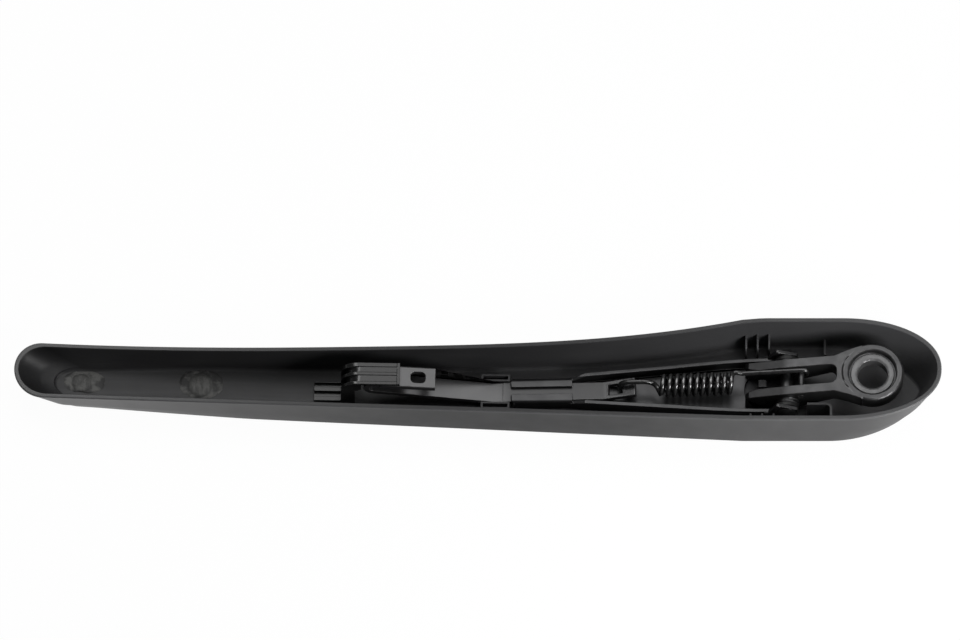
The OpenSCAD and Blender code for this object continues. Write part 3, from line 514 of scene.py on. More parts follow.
class Build:
    """A mesh that is put together in millimetres and handed over in metres."""

    def __init__(self, name: str) -> None:
        """Starts an empty mesh."""
        self.name = name
        self.bm = bmesh.new()
        self.edge_share = self.bm.loops.layers.float.new("edge_share")

    def patch(self, points: Sequence[Point], faces: Iterable[Sequence[int]]) -> Verts:
        """Adds points and the faces between them.

        Args:
            points: places in millimetres.
            faces: for each face, the numbers of its points.

        Returns:
            The new vertices.
        """
        verts = [self.bm.verts.new(Vector(p)) for p in points]
        for face in faces:
            ring = list(dict.fromkeys(face))
            if len(ring) > 2:
                self.bm.faces.new([verts[i] for i in ring])
        return verts

    def prism(self, outline: Sequence[Point], along: Point) -> Verts:
        """Adds the solid that an outline sweeps along a vector, and hands back its vertices."""
        n = len(outline)
        step = Vector(along)
        points = [*outline, *(tuple(Vector(p) + step) for p in outline)]
        sides = faces_between([(0, 1)], n)
        return self.patch(points, [tuple(reversed(range(n))), tuple(range(n, 2 * n)), *sides])

    def tray(self, low: Point, high: Point, wall: float, depth: float) -> Verts:
        """Adds a block with a pocket sunk in its top, and hands back its vertices."""
        (x0, y0, z0), (x1, y1, z1) = low, high
        w = wall
        rings = [
            (x0, y0, x1, y1, z0), (x0, y0, x1, y1, z1),
            (x0 + w, y0 + w, x1 - w, y1 - w, z1), (x0 + w, y0 + w, x1 - w, y1 - w, z1 - depth),
        ]
        points = [p for a, b, c, d, z in rings for p in ((a, b, z), (c, b, z), (c, d, z), (a, d, z))]
        bands = faces_between(pairwise(range(4)), 4)
        return self.patch(points, [(3, 2, 1, 0), (12, 13, 14, 15), *bands])

    def ease(
        self,
        radius: float,
        angle: float = 28.0,
        parts: Union[Iterable[bmesh.types.BMVert], None] = None,
        segments: int = 2,
    ) -> None:
        """Rounds the edges that turn by more than an angle and marks the new faces as edge.

        Args:
            radius: how far in an edge is rounded, in the mesh's unit.
            angle: degrees.
            parts: the vertices whose edges are rounded, or None for all.
            segments: faces across each rounding.
        """
        chosen = None if parts is None else set(parts)
        sharp = [
            e for e in self.bm.edges
            if e.is_manifold and e.calc_face_angle(0.0) > math.radians(angle)
            and (chosen is None or chosen.issuperset(e.verts))
        ]
        rounded = bmesh.ops.bevel(
            self.bm, geom=sharp, offset=radius, offset_type="OFFSET", segments=segments, profile=0.5,
            affect="EDGES", clamp_overlap=False, loop_slide=True,
        )
        for face in rounded["faces"]:
            for loop in face.loops:
                loop[self.edge_share] = 1.0

    def finish(self, scale: float = MM) -> bpy.types.Object:
        """Turns the mesh into an object with smooth faces and flat-faced normals.

        Args:
            scale: metres in the mesh's unit.

        Returns:
            The new object, linked to the scene.
        """
        bmesh.ops.recalc_face_normals(self.bm, faces=self.bm.faces)
        bmesh.ops.scale(self.bm, vec=(scale,) * 3, verts=self.bm.verts)
        mesh = bpy.data.meshes.new(self.name)
        self.bm.to_mesh(mesh)
        self.bm.free()
        mesh.polygons.foreach_set("use_smooth", [True] * len(mesh.polygons))
        mesh.set_sharp_from_angle(angle=math.radians(SHARP_TURN))
        piece = placed(self.name, mesh)
        weighting = piece.modifiers.new("flat_faces", "WEIGHTED_NORMAL")
        weighting.keep_sharp = True
        weighting.weight = 80
        return piece


@dataclass(frozen=True)
class Rolled:
    """A stretch of a pressing whose edges are rolled rounder than the rest, in millimetres."""

    low: Point
    high: Point
    radius: float

    def holds(self, place: Vector) -> bool:
        """Whether a place in metres lies in the stretch."""
        return all(a * MM <= c <= b * MM for a, c, b in zip(self.low, place, self.high))


def eased_copy(
    node: bpy.types.Object,
    name: str,
    radius: float,
    rolled: Union[Rolled, None] = None,
) -> bpy.types.Object:
    """Copies a solid with its flat faces joined up and its edges rounded.

    Args:
        node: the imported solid.
        name: name of the copy.
        radius: how far in an edge is rounded, in millimetres.
        rolled: a stretch with rounder edges, or None.

    Returns:
        The copy.
    """
    made = Build(name)
    made.bm.from_mesh(node.data)
    layers = made.bm.loops.layers.float
    made.edge_share = layers.get("edge_share") or layers.new("edge_share")
    bmesh.ops.remove_doubles(made.bm, verts=made.bm.verts, dist=0.003 * MM)
    bmesh.ops.dissolve_limit(
        made.bm, angle_limit=math.radians(0.7), use_dissolve_boundaries=False,
        verts=made.bm.verts, edges=made.bm.edges,
    )
    if rolled:
        stretch = [v for v in made.bm.verts if rolled.holds(v.co)]
        made.ease(rolled.radius * MM, parts=stretch, segments=5)
    made.ease(radius * MM)
    return made.finish(1.0)


def arc(centre: Flat, radius: float, first: float, last: float, steps: int) -> list[Flat]:
    """Points of an arc, in degrees."""
    turns = [math.radians(first + (last - first) * i / steps) for i in range(steps + 1)]
    return [(centre[0] + radius * math.cos(a), centre[1] + radius * math.sin(a)) for a in turns]


@dataclass(frozen=True)
class PlanLine:
    """A line turned in plan about a point on the spindle's own line."""

    pivot_x: float
    degrees: float
    base: Union[PlanLine, None] = None

    def matrix(self) -> Matrix:
        """The turn, after that of the line that this one starts from."""
        pivot = Matrix.Translation((self.pivot_x, 0, 0))
        own = pivot @ Matrix.Rotation(math.radians(self.degrees), 4, "Z") @ pivot.inverted()
        return self.base.matrix() @ own if self.base else own


HINGE_X = -34.2
FLOOR_Z = -16.9
WEB_TOP = -15.4
NECK_X = -120.4
NECK_LEN = 24.2
CHANNEL_LINE = PlanLine(HINGE_X, 1.06)
STRAP_LINE = PlanLine(NECK_X - NECK_LEN - 4.0, -2.1, CHANNEL_LINE)


# Sub-assemblies


@dataclass
class Shell:
    """The moulded shell with its ribs, clip bosses and stud, in millimetres."""

    tip_reach: float = 343.0
    head_reach: float = 27.6
    rim_top: float = 5.9
    rim_drop: float = 9.3
    crown_low: float = -19.1
    crown_rise: float = 4.0
    rest_x: float = -225.2
    wall: float = 1.8
    crown_wall: float = 2.2
    side_draft: float = 0.5
    corner_r: float = 3.0
    head_half: float = 22.2
    far_waist: float = 11.9
    far_tip: float = 16.0
    near_tip: float = 8.0
    waist_x: float = -212.0
    kink_x: float = -52.0
    kink_step: float = 0.7
    kink_len: float = 8.0
    head_round: float = 39.0
    tip_round: float = 11.4
    nose_rake: float = 14.0
    heel_rake: float = 6.0
    heel_full: float = 0.46
    heel_point: float = 0.24
    tip_lean: Flat = (3.0, 1.1)
    tip_lean_from: float = 93.0
    tip_lean_len: float = 60.0
    rim_r: float = 0.5
    rib_t: float = 0.9
    gusset_t: float = 0.8
    gusset_gap: float = 27.8
    gusset_h: float = 11.4
    gusset_pitch: float = 4.6
    gusset_from: Flat = (2.9, 1.2)
    cheek_from: float = 8.1
    cheek_leg_y: float = 9.8
    cheek_len: float = 10.0
    cheek_bend: float = 2.4
    cheek_h: float = 11.4
    cross_rib: Point = (14.9, 13.3, 6.4)
    stud: Point = (9.7, 0.6, 6.8)
    stud_half: float = 1.5
    rib_sink: float = 1.1
    boss: Point = (11.6, 3.2, 5.0)
    runs: tuple[int, int, int, int] = (20, 64, 12, 30)

    def far_edge(self, x: float) -> float:
        """Y of the far edge, which bows in at the waist."""
        if x < self.waist_x:
            share = (self.waist_x - x) / (self.tip_reach + self.waist_x)
            return self.far_waist + (self.far_tip - self.far_waist) * share**2.3
        if x < self.kink_x:
            share = (x - self.waist_x) / (self.kink_x - self.waist_x)
            return self.far_waist + (self.head_half - self.kink_step - self.far_waist) * share**3.2
        return self.head_half - self.kink_step * max(0.0, 1 - (x - self.kink_x) / self.kink_len)

    def near_edge(self, x: float) -> float:
        """Y of the near edge, which is straight."""
        share = (x + self.tip_reach) / (self.tip_reach + self.kink_x)
        return -min(self.head_half, self.near_tip + (self.head_half - self.near_tip) * share)

    def rim_line(self, x: float) -> float:
        """Height of the rim."""
        return self.rim_top - self.rim_drop * max(0.0, self.kink_x - x) / (self.tip_reach + self.kink_x)

    def crown_line(self, x: float) -> float:
        """Height of the crown's outside."""
        share = max(0.0, self.rest_x - x) / (self.tip_reach + self.rest_x)
        return self.crown_low + self.crown_rise * share**2

    def floor_line(self, x: float) -> float:
        """Height of the floor inside."""
        return self.crown_line(x) + self.crown_wall

    def station(self, k: int, x0: float, x1: float) -> float:
        """X of one station round a level, from the blade end to the heel."""
        tip, blade, cheek, heel = self.runs
        if k <= tip:
            return x0 + self.tip_round * (1 - math.cos(math.pi / 2 * k / tip))
        if k <= tip + blade:
            return x0 + self.tip_round + (self.kink_x - x0 - self.tip_round) * (k - tip) / blade
        if k <= tip + blade + cheek:
            return self.kink_x + (x1 - self.head_round - self.kink_x) * (k - tip - blade) / cheek
        return x1 - self.head_round * (1 - math.cos(math.pi / 2 * (sum(self.runs) - k) / heel))

    def cap(self, x: float, x0: float, x1: float, share: float) -> float:
        """How far the rounded ends draw in the width."""
        if x < x0 + self.tip_round:
            return math.sqrt(max(0.0, 1 - ((x0 + self.tip_round - x) / self.tip_round) ** 2))
        if x > x1 - self.head_round:
            left = max(0.0, 1 - ((x - x1 + self.head_round) / self.head_round) ** 2)
            return left ** (self.heel_full + self.heel_point * (1 - share))
        return 1.0

    def lean(self, x: float) -> float:
        """How far the tip's lean has come in, from 0 to 1."""
        return min(1.0, max(0.0, (self.tip_lean_from - self.tip_reach - x) / self.tip_lean_len))

    def ring(self, level: Sequence[float]) -> list[Point]:
        """Points round one level.

        Args:
            level: share of the way from crown to rim, rise, and the insets at the sides, the
                blade end and the spindle end.

        Returns:
            The points, along the far side and back along the near side.
        """
        share, rise, side, tip, heel = level[:5]
        x0, x1 = -self.tip_reach + tip, self.head_reach - heel
        count = sum(self.runs)
        points = []
        for k, sign in [(k, 1) for k in range(count + 1)] + [(k, -1) for k in range(count - 1, 0, -1)]:
            x = self.station(k, x0, x1)
            lean = (1 - share) * self.lean(x)
            far = self.far_edge(x) - side - self.tip_lean[0] * lean * self.lean(x)
            near = self.near_edge(x) + side + self.tip_lean[1] * lean
            half = (far - near) / 2 * self.cap(x, x0, x1, share)
            low, high = self.crown_line(x), self.rim_line(x)
            points.append((x, (far + near) / 2 + sign * half, low + share * (high - low) + rise))
        return points

    def levels(self) -> list[Level]:
        """Levels down the outside and up the inside, the last number being 1 inside."""

        def wall_at(share: float, rise: float, inset: float, inside: float) -> Level:
            """A level of the wall."""
            left = 1 - share
            rake = inset + self.nose_rake * left**1.15
            return share, rise, inset + self.side_draft * left, rake, inset + self.heel_rake * left, inside

        def corner_at(degrees: float, r: float, inset: float, base: float, inside: float) -> Level:
            """A level of the corner between wall and crown."""
            a = math.radians(degrees)
            draw, rise = r * (1 - math.cos(a)), base + r * (1 - math.sin(a))
            rakes = (self.side_draft, self.nose_rake, self.heel_rake)
            return 0.0, rise, *(inset + rake + draw for rake in rakes), inside

        def rim_at(degrees: float, r: float, inset: float, inside: float) -> Level:
            """A level of the rounded rim, whose inner edge is given a radius below 0."""
            a = math.radians(degrees)
            return wall_at(1, -abs(r) * (1 - math.sin(a)), inset + r * (1 - math.cos(a)), inside)

        shares = [0.93, 0.86, 0.78, 0.7, 0.6, 0.5, 0.4, 0.3]
        r, lip_r = self.rim_r, 0.3
        out = [rim_at(a, r, 0.0, 0.0) for a in (90, 60, 30, 0)]
        out += [wall_at(s, 0, 0, 0.0) for s in shares]
        out += [corner_at(a, self.corner_r, 0, 0, 0.0) for a in range(0, 91, 10)]
        inner = [
            corner_at(a, self.corner_r / 2, self.wall, self.crown_wall, 1.0)
            for a in range(90, -1, -15)
        ]
        inner += [wall_at(s, self.crown_wall * (1 - s), self.wall, 1.0) for s in reversed(shares)]
        steps = ((0, 1.0), (30, 0.8), (60, 0.4), (90, 0.0))
        inner += [rim_at(a, -lip_r, self.wall, inside) for a, inside in steps]
        return out + inner

    def add_skin(self, made: Build) -> None:
        """Adds the skin: down the outside, over the crown, up the inside and over the rim."""
        inside = made.bm.verts.layers.float.new("inside")
        rim = made.bm.verts.layers.float.new("rim")
        levels = self.levels()
        count = sum(self.runs)
        n = 2 * count
        points = [p for level in levels for p in self.ring(level)]
        outer = next(i for i, level in enumerate(levels) if level[5] == 1.0)
        pairs = [p for p in pairwise([*range(len(levels)), 0]) if p[0] != outer - 1]
        faces = faces_between(pairs, n)
        for base in ((outer - 1) * n, outer * n):
            faces += [
                (base + k, base + k + 1, base + (n - k - 1) % n, base + (n - k) % n)
                for k in range(count)
            ]
        verts = made.patch(points, faces)
        for i, vert in enumerate(verts):
            vert[inside] = levels[i // n][5]
            vert[rim] = 1.0 if i // n in (1, 2, 3) else 0.0

    def add_ribs(self, made: Build) -> Verts:
        """Adds the ribs beside the head, the gussets, the clip bosses and the stud.

        Returns:
            Their vertices.
        """
        verts: Verts = []
        root = self.head_half - self.wall / 2 - self.side_draft
        base = FLOOR_Z - self.rib_sink
        for side in (-1, 1):
            for i in range(3):
                x = self.kink_x + self.gusset_from[side > 0] + i * self.gusset_pitch
                inner, top, cut = self.gusset_gap / 2, FLOOR_Z + self.gusset_h, 1.2
                tip = [(inner + cut, top), (inner, top - cut)]
                outline = [(root - 0.4, base), (root, top), *tip, (inner, base)]
                verts += made.prism([(x, side * y, z) for y, z in outline], (self.gusset_t, 0, 0))
            verts += self._clip_boss(made, side, base)
        verts += self._angled_rib(made, root, base)
        ahead, y0, height = self.cross_rib
        x, t = HINGE_X + ahead, self.rib_t
        plate = [(x, y0, base), (x + t, y0, base), (x + t, root, base), (x, root, base)]
        verts += made.prism(plate, (0, 0, FLOOR_Z + height - base))
        ahead, y, height = self.stud
        x, half = HINGE_X - ahead, self.stud_half
        corners = ((-half, -half), (half, -half), (half, half), (-half, half))
        square = [(x + dx, y + dy, base) for dx, dy in corners]
        verts += made.prism(square, (0, 0, FLOOR_Z + height - base))
        return verts

    def _angled_rib(self, made: Build, root: float, base: float) -> Verts:
        """Adds the angled rib on the near side of the head."""
        start, inner, bend, t = HINGE_X + self.cheek_from, self.cheek_leg_y, self.cheek_bend, self.rib_t
        end = start + self.cheek_len
        centre = (end - bend, inner + bend)
        outline = [
            (start, inner), *arc(centre, bend, -90, 0, 6), (end, root),
            (end - t, root), *arc(centre, bend - t, 0, -90, 6), (start, inner + t),
        ]
        return made.prism([(x, -y, base) for x, y in outline], (0, 0, FLOOR_Z + self.cheek_h - base))

    def _clip_boss(self, made: Build, side: int, base: float) -> Verts:
        """Adds the slotted boss on one side of the strap."""
        length, width, height = self.boss
        x1, middle = NECK_X - NECK_LEN - 0.3, side * (4.1 + 0.35 + width / 2)
        low = (x1 - length, middle - width / 2, base)
        high = (x1, middle + width / 2, FLOOR_Z + height)
        verts = made.tray(low, high, 0.9, height - 1)
        bmesh.ops.transform(made.bm, matrix=STRAP_LINE.matrix(), verts=verts)
        return verts

    def assemble(self, dresser: Dresser, finishes: FinishBook) -> None:
        """Builds and dresses the shell."""
        made = Build("shell_moulding")
        self.add_skin(made)
        ribs = self.add_ribs(made)
        inside = made.bm.verts.layers.float["inside"]
        for vert in ribs:
            vert[inside] = 1.0
        made.ease(0.2, 30.0, ribs)
        piece = made.finish()
        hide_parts("arm_shell")
        dresser.dress(piece, finishes.shell, Carrier.ARM)


@dataclass(frozen=True)
class CarriedPart:
    """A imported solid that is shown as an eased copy."""

    node: str
    name: str
    finish: Finish
    ease: float
    body: Carrier
    rolled: Union[Rolled, None] = None

    def assemble(self, nodes: Mapping[str, bpy.types.Object], dresser: Dresser) -> None:
        """Copies, eases and dresses the part."""
        piece = eased_copy(nodes[self.node], self.name, self.ease, rolled=self.rolled)
        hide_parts(self.node)
        dresser.dress(piece, self.finish, self.body)


@dataclass(frozen=True)
class Spring:
    """The tension spring, in millimetres: hook on the tongue's bar, coil, long leg and hook on the pin."""

    wire_r: float = 1.0
    coil_r: float = 4.8
    turns: int = 10
    pitch: float = 2.74
    start_x: float = -84.4
    rise: float = 1.4
    coil_up: float = 6.2
    leg_y: float = 2.8
    leg_up: float = 2.8
    anchor_shift: float = 1.0
    tongue: tuple[float, float, float, float] = (-107.4, 13.8, 17.5, 5.2)
    strap_t: float = 2.4
    pin: Flat = (-28.4, -4.5)
    pin_hook_r: float = 2.4
    steps: int = 28
    sides: int = 16
    highlight_depth: float = 0.22
    highlight_fade: float = 0.2
    leg_highlight: float = 0.3

    def axis_y(self, x: float) -> float:
        """Y of the coil's axis, on the channel's line."""
        return (x - HINGE_X) * math.sin(math.radians(CHANNEL_LINE.degrees))

    def axis_z(self, x: float) -> float:
        """Height of the coil's axis."""
        return WEB_TOP + self.coil_up + self.rise * (x - self.start_x) / (self.turns * self.pitch)

    def coil_point(self, turn: float) -> Point:
        """A point of the wire's middle in the coil."""
        x, r = self.start_x + turn * self.pitch, self.coil_r - self.wire_r
        a = 2 * math.pi * turn + math.pi / 2
        return x, self.axis_y(x) - r * math.sin(a), self.axis_z(x) - r * math.cos(a)

    def route(self) -> list[Point]:
        """The middle of the wire, from the hook on the tongue to the hook on the pin."""
        tongue_x, length, slope, from_end = self.tongue
        along, tilt = length - from_end / 2, math.radians(slope)
        bar_x = tongue_x + along * math.cos(tilt) - self.strap_t / 2 * math.sin(tilt)
        bar_z = WEB_TOP + along * math.sin(tilt) + self.strap_t / 2 * math.cos(tilt)
        r = math.hypot(from_end / 2, self.strap_t / 2) + self.wire_r + 0.02
        y = self.axis_y(bar_x) + self.anchor_shift
        turns = [math.radians(-55 + 14.5 * i) for i in range(11)]
        hook = [(bar_x - r * math.cos(a), y, bar_z + r * math.sin(a)) for a in turns]
        start = [
            ((bar_x + self.start_x) / 2, y, bar_z + r + 0.2),
            (self.start_x - 3.2, y - 0.3, bar_z + r - 0.8),
            (self.start_x - 1.6, self.axis_y(self.start_x) - 1.8, self.axis_z(self.start_x) + 3),
        ]
        last = self.turns + 7 / 16
        count = round(last * self.steps)
        coil = [self.coil_point(last * i / count) for i in range(count + 1)]
        x = self.start_x + last * self.pitch
        leg = [
            (x + 1.2, self.leg_y + 0.1, self.axis_z(x) + self.leg_up + 0.6),
            (x + 3.2, self.leg_y, self.axis_z(x) + self.leg_up),
            (x + 6.0, self.leg_y, self.axis_z(x) + self.leg_up),
        ]
        end = [(px, self.leg_y, pz) for px, pz in arc(self.pin, self.pin_hook_r, 100, -60, 8)]
        return smooth_route(hook + start) + coil + smooth_route(leg + end)

    def assemble(self, dresser: Dresser, finishes: FinishBook) -> None:
        """Builds and dresses the spring, which bends where the leg crosses the hinge."""
        made = Build("spring_wire")
        crown = made.bm.verts.layers.float.new("crown")
        sweep_wire(made, self.route(), self.wire_r, self.sides)
        coil_end = self.start_x + self.turns * self.pitch + 1
        # The crown number paints a highlight on the outer face of the turns and along the whole leg.
        for vert in made.bm.verts:
            x, y, z = vert.co
            out = math.hypot(y - self.axis_y(x), z - self.axis_z(x))
            on_coil = self.start_x - 1 < x < coil_end
            share = (out - self.coil_r + self.highlight_depth) / self.highlight_fade if on_coil else self.leg_highlight
            vert[crown] = min(1.0, max(0.0, share))
        piece = made.finish()
        piece.modifiers.clear()
        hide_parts("tension_spring")
        dresser.dress(piece, finishes.wire, None)
        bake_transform(piece, "arm", "head", start=(-0.054, 0, -0.006), end=(-0.031, 0, -0.006))


def smooth_route(points: Sequence[Point], parts: int = 5) -> list[Point]:
    """Runs a smooth curve through points.

    Args:
        points: the points that it passes.
        parts: pieces between two points.

    Returns:
        The points of the curve.
    """
    p = [Vector(q) for q in points]
    out = []
    for i in range(len(p) - 1):
        before, after = p[max(i - 1, 0)], p[min(i + 2, len(p) - 1)]
        for j in range(parts):
            t = j / parts
            out.append(tuple(0.5 * (
                2 * p[i] + (p[i + 1] - before) * t
                + (2 * before - 5 * p[i] + 4 * p[i + 1] - after) * t * t
                + (3 * p[i] - before - 3 * p[i + 1] + after) * t**3
            )))
    return [*out, tuple(p[-1])]


def sweep_wire(made: Build, route: Sequence[Point], radius: float, sides: int) -> None:
    """Sweeps a round wire along a route, with domed ends.

    Args:
        made: the mesh that it is added to.
        route: the wire's middle.
        radius: half the wire's thickness.
        sides: how many sides the wire has.
    """
    middle = [Vector(p) for p in route]
    first, last = (middle[0] - middle[1]).normalized(), (middle[-1] - middle[-2]).normalized()
    dome = [(0.98, 0.25), (0.8, 0.6), (0.45, 0.9)]
    rings = [(middle[0] + first * radius * out * 0.5, radius * share) for share, out in reversed(dome)]
    rings += [(p, radius) for p in middle]
    rings += [(middle[-1] + last * radius * out * 0.5, radius * share) for share, out in dome]
    aside = Vector((0, 1, 0))
    points: list[Point] = []
    for i, (place, r) in enumerate(rings):
        ahead = (rings[min(i + 1, len(rings) - 1)][0] - rings[max(i - 1, 0)][0]).normalized()
        aside = (aside - ahead * aside.dot(ahead)).normalized()
        up = ahead.cross(aside)
        for k in range(sides):
            a = 2 * math.pi * k / sides
            points.append(tuple(place + r * (math.cos(a) * aside + math.sin(a) * up)))
    faces = faces_between(pairwise(range(len(rings))), sides)
    ends = [tuple(reversed(range(sides))), tuple((len(rings) - 1) * sides + k for k in range(sides))]
    made.patch(points, [*faces, *ends])


@dataclass(frozen=True)
class CompoundPad:
    """Sealing compound pressed on the floor: a ragged film with a round hump, in millimetres."""

    node: str
    name: str
    low: Flat
    high: Flat
    hump: Flat
    hump_r: float
    seed: float
    film: float = 0.34
    edge_from: float = 0.88
    dome_h: float = 0.34
    wrinkle_h: float = 0.10
    rings: int = 26
    spokes: int = 96

    def outline(self, angle: float) -> float:
        """How far the film reaches, as a share of a rounded box."""
        c, s = abs(math.cos(angle)), abs(math.sin(angle))
        box = (c**5 + s**5) ** -0.2
        ragged = noise.noise(Vector((2.2 * math.cos(angle), 2.2 * math.sin(angle), self.seed)))
        fine = noise.noise(Vector((7 * math.cos(angle), 7 * math.sin(angle), self.seed + 4)))
        return min(1.0, box * (0.94 + 0.10 * ragged + 0.05 * fine))

    def height(self, x: float, y: float, share: float) -> tuple[float, float]:
        """Height over the floor and how thick the compound is.

        Args:
            x: place along the arm.
            y: place across it.
            share: 0 at the middle of the film, 1 at its edge.

        Returns:
            The height in millimetres and a thickness from 0 to 1.
        """
        edge = 1 - max(0.0, (share - self.edge_from) / (1 - self.edge_from)) ** 2
        d = math.hypot(x - self.hump[0], y - self.hump[1]) / self.hump_r
        dome = max(0.0, 1 - d**6) if d < 1 else 0.0
        wrinkle = noise.noise(Vector((0.5 * x, 1.7 * y, self.seed)))
        lump = noise.noise(Vector((0.9 * x, 0.9 * y, self.seed + 9)))
        top = self.film * (0.72 + 0.28 * lump) * edge + dome * (self.dome_h + self.wrinkle_h * wrinkle)
        return top, dome

    def assemble(self, shell: Shell, dresser: Dresser, finishes: FinishBook) -> None:
        """Builds and dresses the pad on the shell's floor."""
        made = Build(self.name)
        thick = made.bm.verts.layers.float.new("thick")
        cx, cy = (self.low[0] + self.high[0]) / 2, (self.low[1] + self.high[1]) / 2
        hx, hy = (self.high[0] - self.low[0]) / 2, (self.high[1] - self.low[1]) / 2
        points: list[Point] = []
        depths: list[float] = []
        for i in range(self.rings + 1):
            for k in range(self.spokes):
                a, share = 2 * math.pi * k / self.spokes, max(i, 0.02) / self.rings
                reach = self.outline(a) * share
                x, y = cx + hx * reach * math.cos(a), cy + hy * reach * math.sin(a)
                top, depth = self.height(x, y, share)
                points.append((x, y, shell.floor_line(x) + (top if i < self.rings else 0.02)))
                depths.append(depth)
        n = self.spokes
        faces = faces_between(pairwise(range(self.rings + 1)), n)
        faces += [tuple(range(n)), tuple(self.rings * n + k for k in range(n))]
        for vert, depth in zip(made.patch(points, faces), depths):
            vert[thick] = depth
        piece = made.finish()
        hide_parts(self.node)
        dresser.dress(piece, finishes.compound, Carrier.ARM)


@dataclass(frozen=True)
class Lamp:
    """One soft area lamp, in metres and watts."""

    name: str
    place: Point
    size: Flat
    watts: float

    def hang(self, aim: Vector) -> None:
        """Hangs the lamp so that it looks at a point."""
        data = bpy.data.lights.new(self.name, "AREA")
        data.shape = "RECTANGLE"
        data.size, data.size_y = self.size
        data.energy = self.watts
        lamp = placed(self.name, data)
        lamp.visible_camera = False
        lamp.location = self.place
        lamp.rotation_euler = (aim - Vector(self.place)).to_track_quat("-Z", "Y").to_euler()


@dataclass(frozen=True)
class Studio:
    """Camera, lamps, world and the pale floor."""

    lens: float = 1500.0
    sensor: float = 36.0
    picture_width: float = 0.384
    elevation: float = 66.0
    target: Point = (-0.1568, 0.0274, -0.008)
    aim: Point = (-0.15, 0.0, 0.0)
    floor_z: float = -0.0191
    floor_half: float = 4.0
    glow_share: float = 0.97
    world_level: float = 0.1
    lamps: tuple[Lamp, ...] = (
        Lamp("lamp_over", (0.05, 0.44, 1.1), (1.5, 1.1), 12.0),
        Lamp("lamp_right", (0.16, -0.2, 0.17), (0.16, 0.16), 1.3),
        Lamp("lamp_left", (-0.52, 0.41, 0.84), (0.15, 0.3), 0.9),
    )

    def set_camera(self) -> None:
        """Puts the camera at the photograph's angle, far off behind a long lens."""
        data = bpy.data.cameras.new("camera")
        data.lens, data.sensor_width = self.lens, self.sensor
        data.clip_end = 100.0
        camera = placed("camera", data)
        a = math.radians(self.elevation)
        far = self.lens / self.sensor * self.picture_width
        camera.location = Vector(self.target) + far * Vector((0, -math.cos(a), math.sin(a)))
        camera.rotation_euler = (math.pi / 2 - a, 0, 0)
        bpy.context.scene.camera = camera

    def set_world(self) -> None:
        """An even grey sky."""
        world = bpy.data.worlds.new("studio_world")
        bpy.context.scene.world = world
        world.use_nodes = True
        sky = world.node_tree.nodes["Background"]
        sky.inputs["Color"].default_value = (1.0, 1.0, 1.0, 1.0)
        sky.inputs["Strength"].default_value = self.world_level

    def lay_floor(self) -> None:
        """A wide white floor that keeps a faint shadow."""
        half, z = self.floor_half, self.floor_z
        mesh = bpy.data.meshes.new("studio_floor")
        corners = [(-half, -half, z), (half, -half, z), (half, half, z), (-half, half, z)]
        mesh.from_pydata(corners, [], [(0, 1, 2, 3)])
        floor = placed("studio_floor", mesh)
        graph = ShaderGraph("white_floor")
        fleck = graph.noise(14.0, 2.0)
        paper = graph.node(
            "ShaderNodeBsdfPrincipled", {},
            {"Base Color": graph.blend(fleck, (0.88, 0.88, 0.88), (0.91, 0.91, 0.91)), "Roughness": 0.9},
        )
        glow = graph.node("ShaderNodeEmission", {}, {"Color": (1.0, 1.0, 1.0, 1.0), "Strength": 1.0})
        rays = ("Is Camera Ray", "Is Glossy Ray", "Is Transmission Ray")
        seen = [graph.node("ShaderNodeLightPath", {}, {}, ray) for ray in rays]
        shown = graph.math("MAXIMUM", graph.math("MAXIMUM", seen[0], seen[1]), seen[2])
        mixed = graph.node("ShaderNodeMixShader", {}, {0: shown * self.glow_share, 1: paper, 2: glow})
        mesh.materials.append(graph.close(mixed))

    def build(self) -> None:
        """Sets up the whole studio."""
        self.set_camera()
        self.set_world()
        self.lay_floor()
        for lamp in self.lamps:
            lamp.hang(Vector(self.aim))
        bpy.context.scene.view_settings.view_transform = "Standard"
        LOG.info("studio: %d lamps", len(self.lamps))


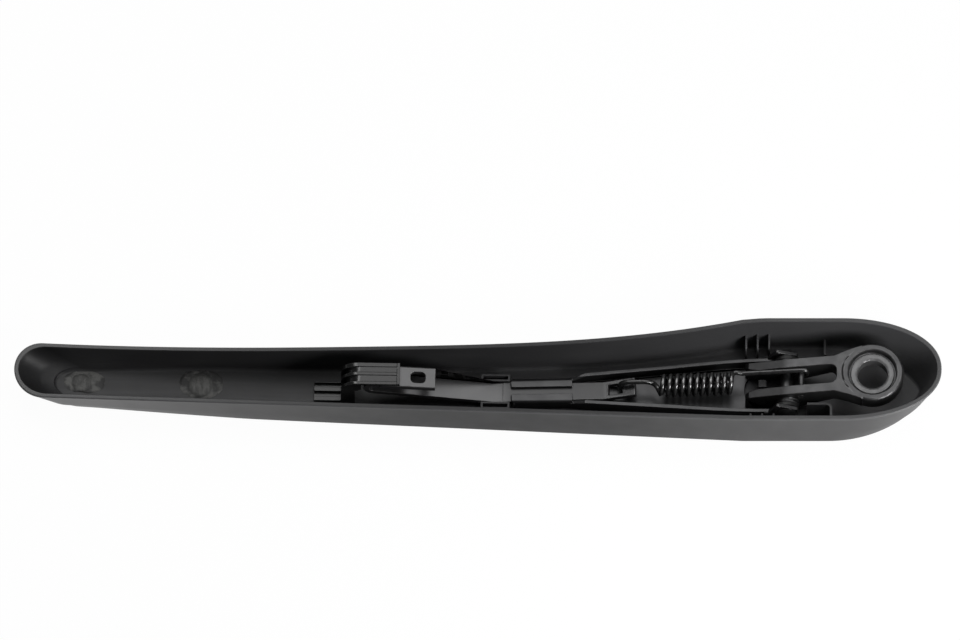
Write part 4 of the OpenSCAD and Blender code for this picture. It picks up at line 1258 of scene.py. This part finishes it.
@dataclass
class WiperArm:
    """The whole arm, in the order in which it is put together."""

    finishes: FinishBook = field(default_factory=FinishBook)
    dresser: Dresser = field(default_factory=Dresser)
    shell: Shell = field(default_factory=Shell)
    spring: Spring = field(default_factory=Spring)

    def carried(self) -> list[CarriedPart]:
        """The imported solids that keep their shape."""
        f = self.finishes
        lips = Rolled((NECK_X - NECK_LEN - 0.3, -9.0, -13.1), (NECK_X + 0.3, 6.0, -11.3), 0.6)
        return [
            CarriedPart("retainer_channel", "channel_pressing", f.channel, 0.22, Carrier.ARM, lips),
            CarriedPart("arm_strap", "strap_strip", f.strap, 0.22, Carrier.ARM),
            CarriedPart("blade_adapter", "adapter_moulding", f.adapter, 0.18, Carrier.ARM),
            CarriedPart("hinge_rivet", "rivet_body", f.rivet, 0.25, Carrier.ARM),
            CarriedPart("mounting_head", "head_casting", f.casting, 0.35, Carrier.HEAD),
            CarriedPart("spindle_sleeve", "sleeve_ring", f.sleeve, 0.12, Carrier.HEAD),
            CarriedPart("hook_pin", "hook_pin_turned", f.rivet, 0.15, Carrier.HEAD),
            CarriedPart("hinge_bush_far", "bush_far", f.bush, 0.12, Carrier.HEAD),
            CarriedPart("hinge_bush_near", "bush_near", f.bush, 0.12, Carrier.HEAD),
        ]

    def pads(self) -> list[CompoundPad]:
        """The two blobs of sealing compound on the floor."""
        return [
            CompoundPad(
                "compound_pad_tip", "pad_tip_smear", low=(-323.6, -1.9), high=(-306.4, 8.3),
                hump=(-316.2, 2.6), hump_r=4.0, seed=2.0,
            ),
            CompoundPad(
                "compound_pad_mid", "pad_mid_smear", low=(-277.2, -3.4), high=(-259.2, 9.6),
                hump=(-268.4, 2.6), hump_r=5.2, seed=7.0,
            ),
        ]

    def assemble(self, nodes: Mapping[str, bpy.types.Object]) -> None:
        """Builds and dresses every piece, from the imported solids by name."""
        self.shell.assemble(self.dresser, self.finishes)
        for part in self.carried():
            part.assemble(nodes, self.dresser)
        self.spring.assemble(self.dresser, self.finishes)
        for pad in self.pads():
            pad.assemble(self.shell, self.dresser, self.finishes)


def main() -> None:
    """Loads the frame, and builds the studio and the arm."""
    logging.basicConfig(level=logging.INFO, format="%(name)s: %(message)s")
    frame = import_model()
    Studio().build()
    WiperArm().assemble(frame["nodes"])


if __name__ == "__main__":
    main()
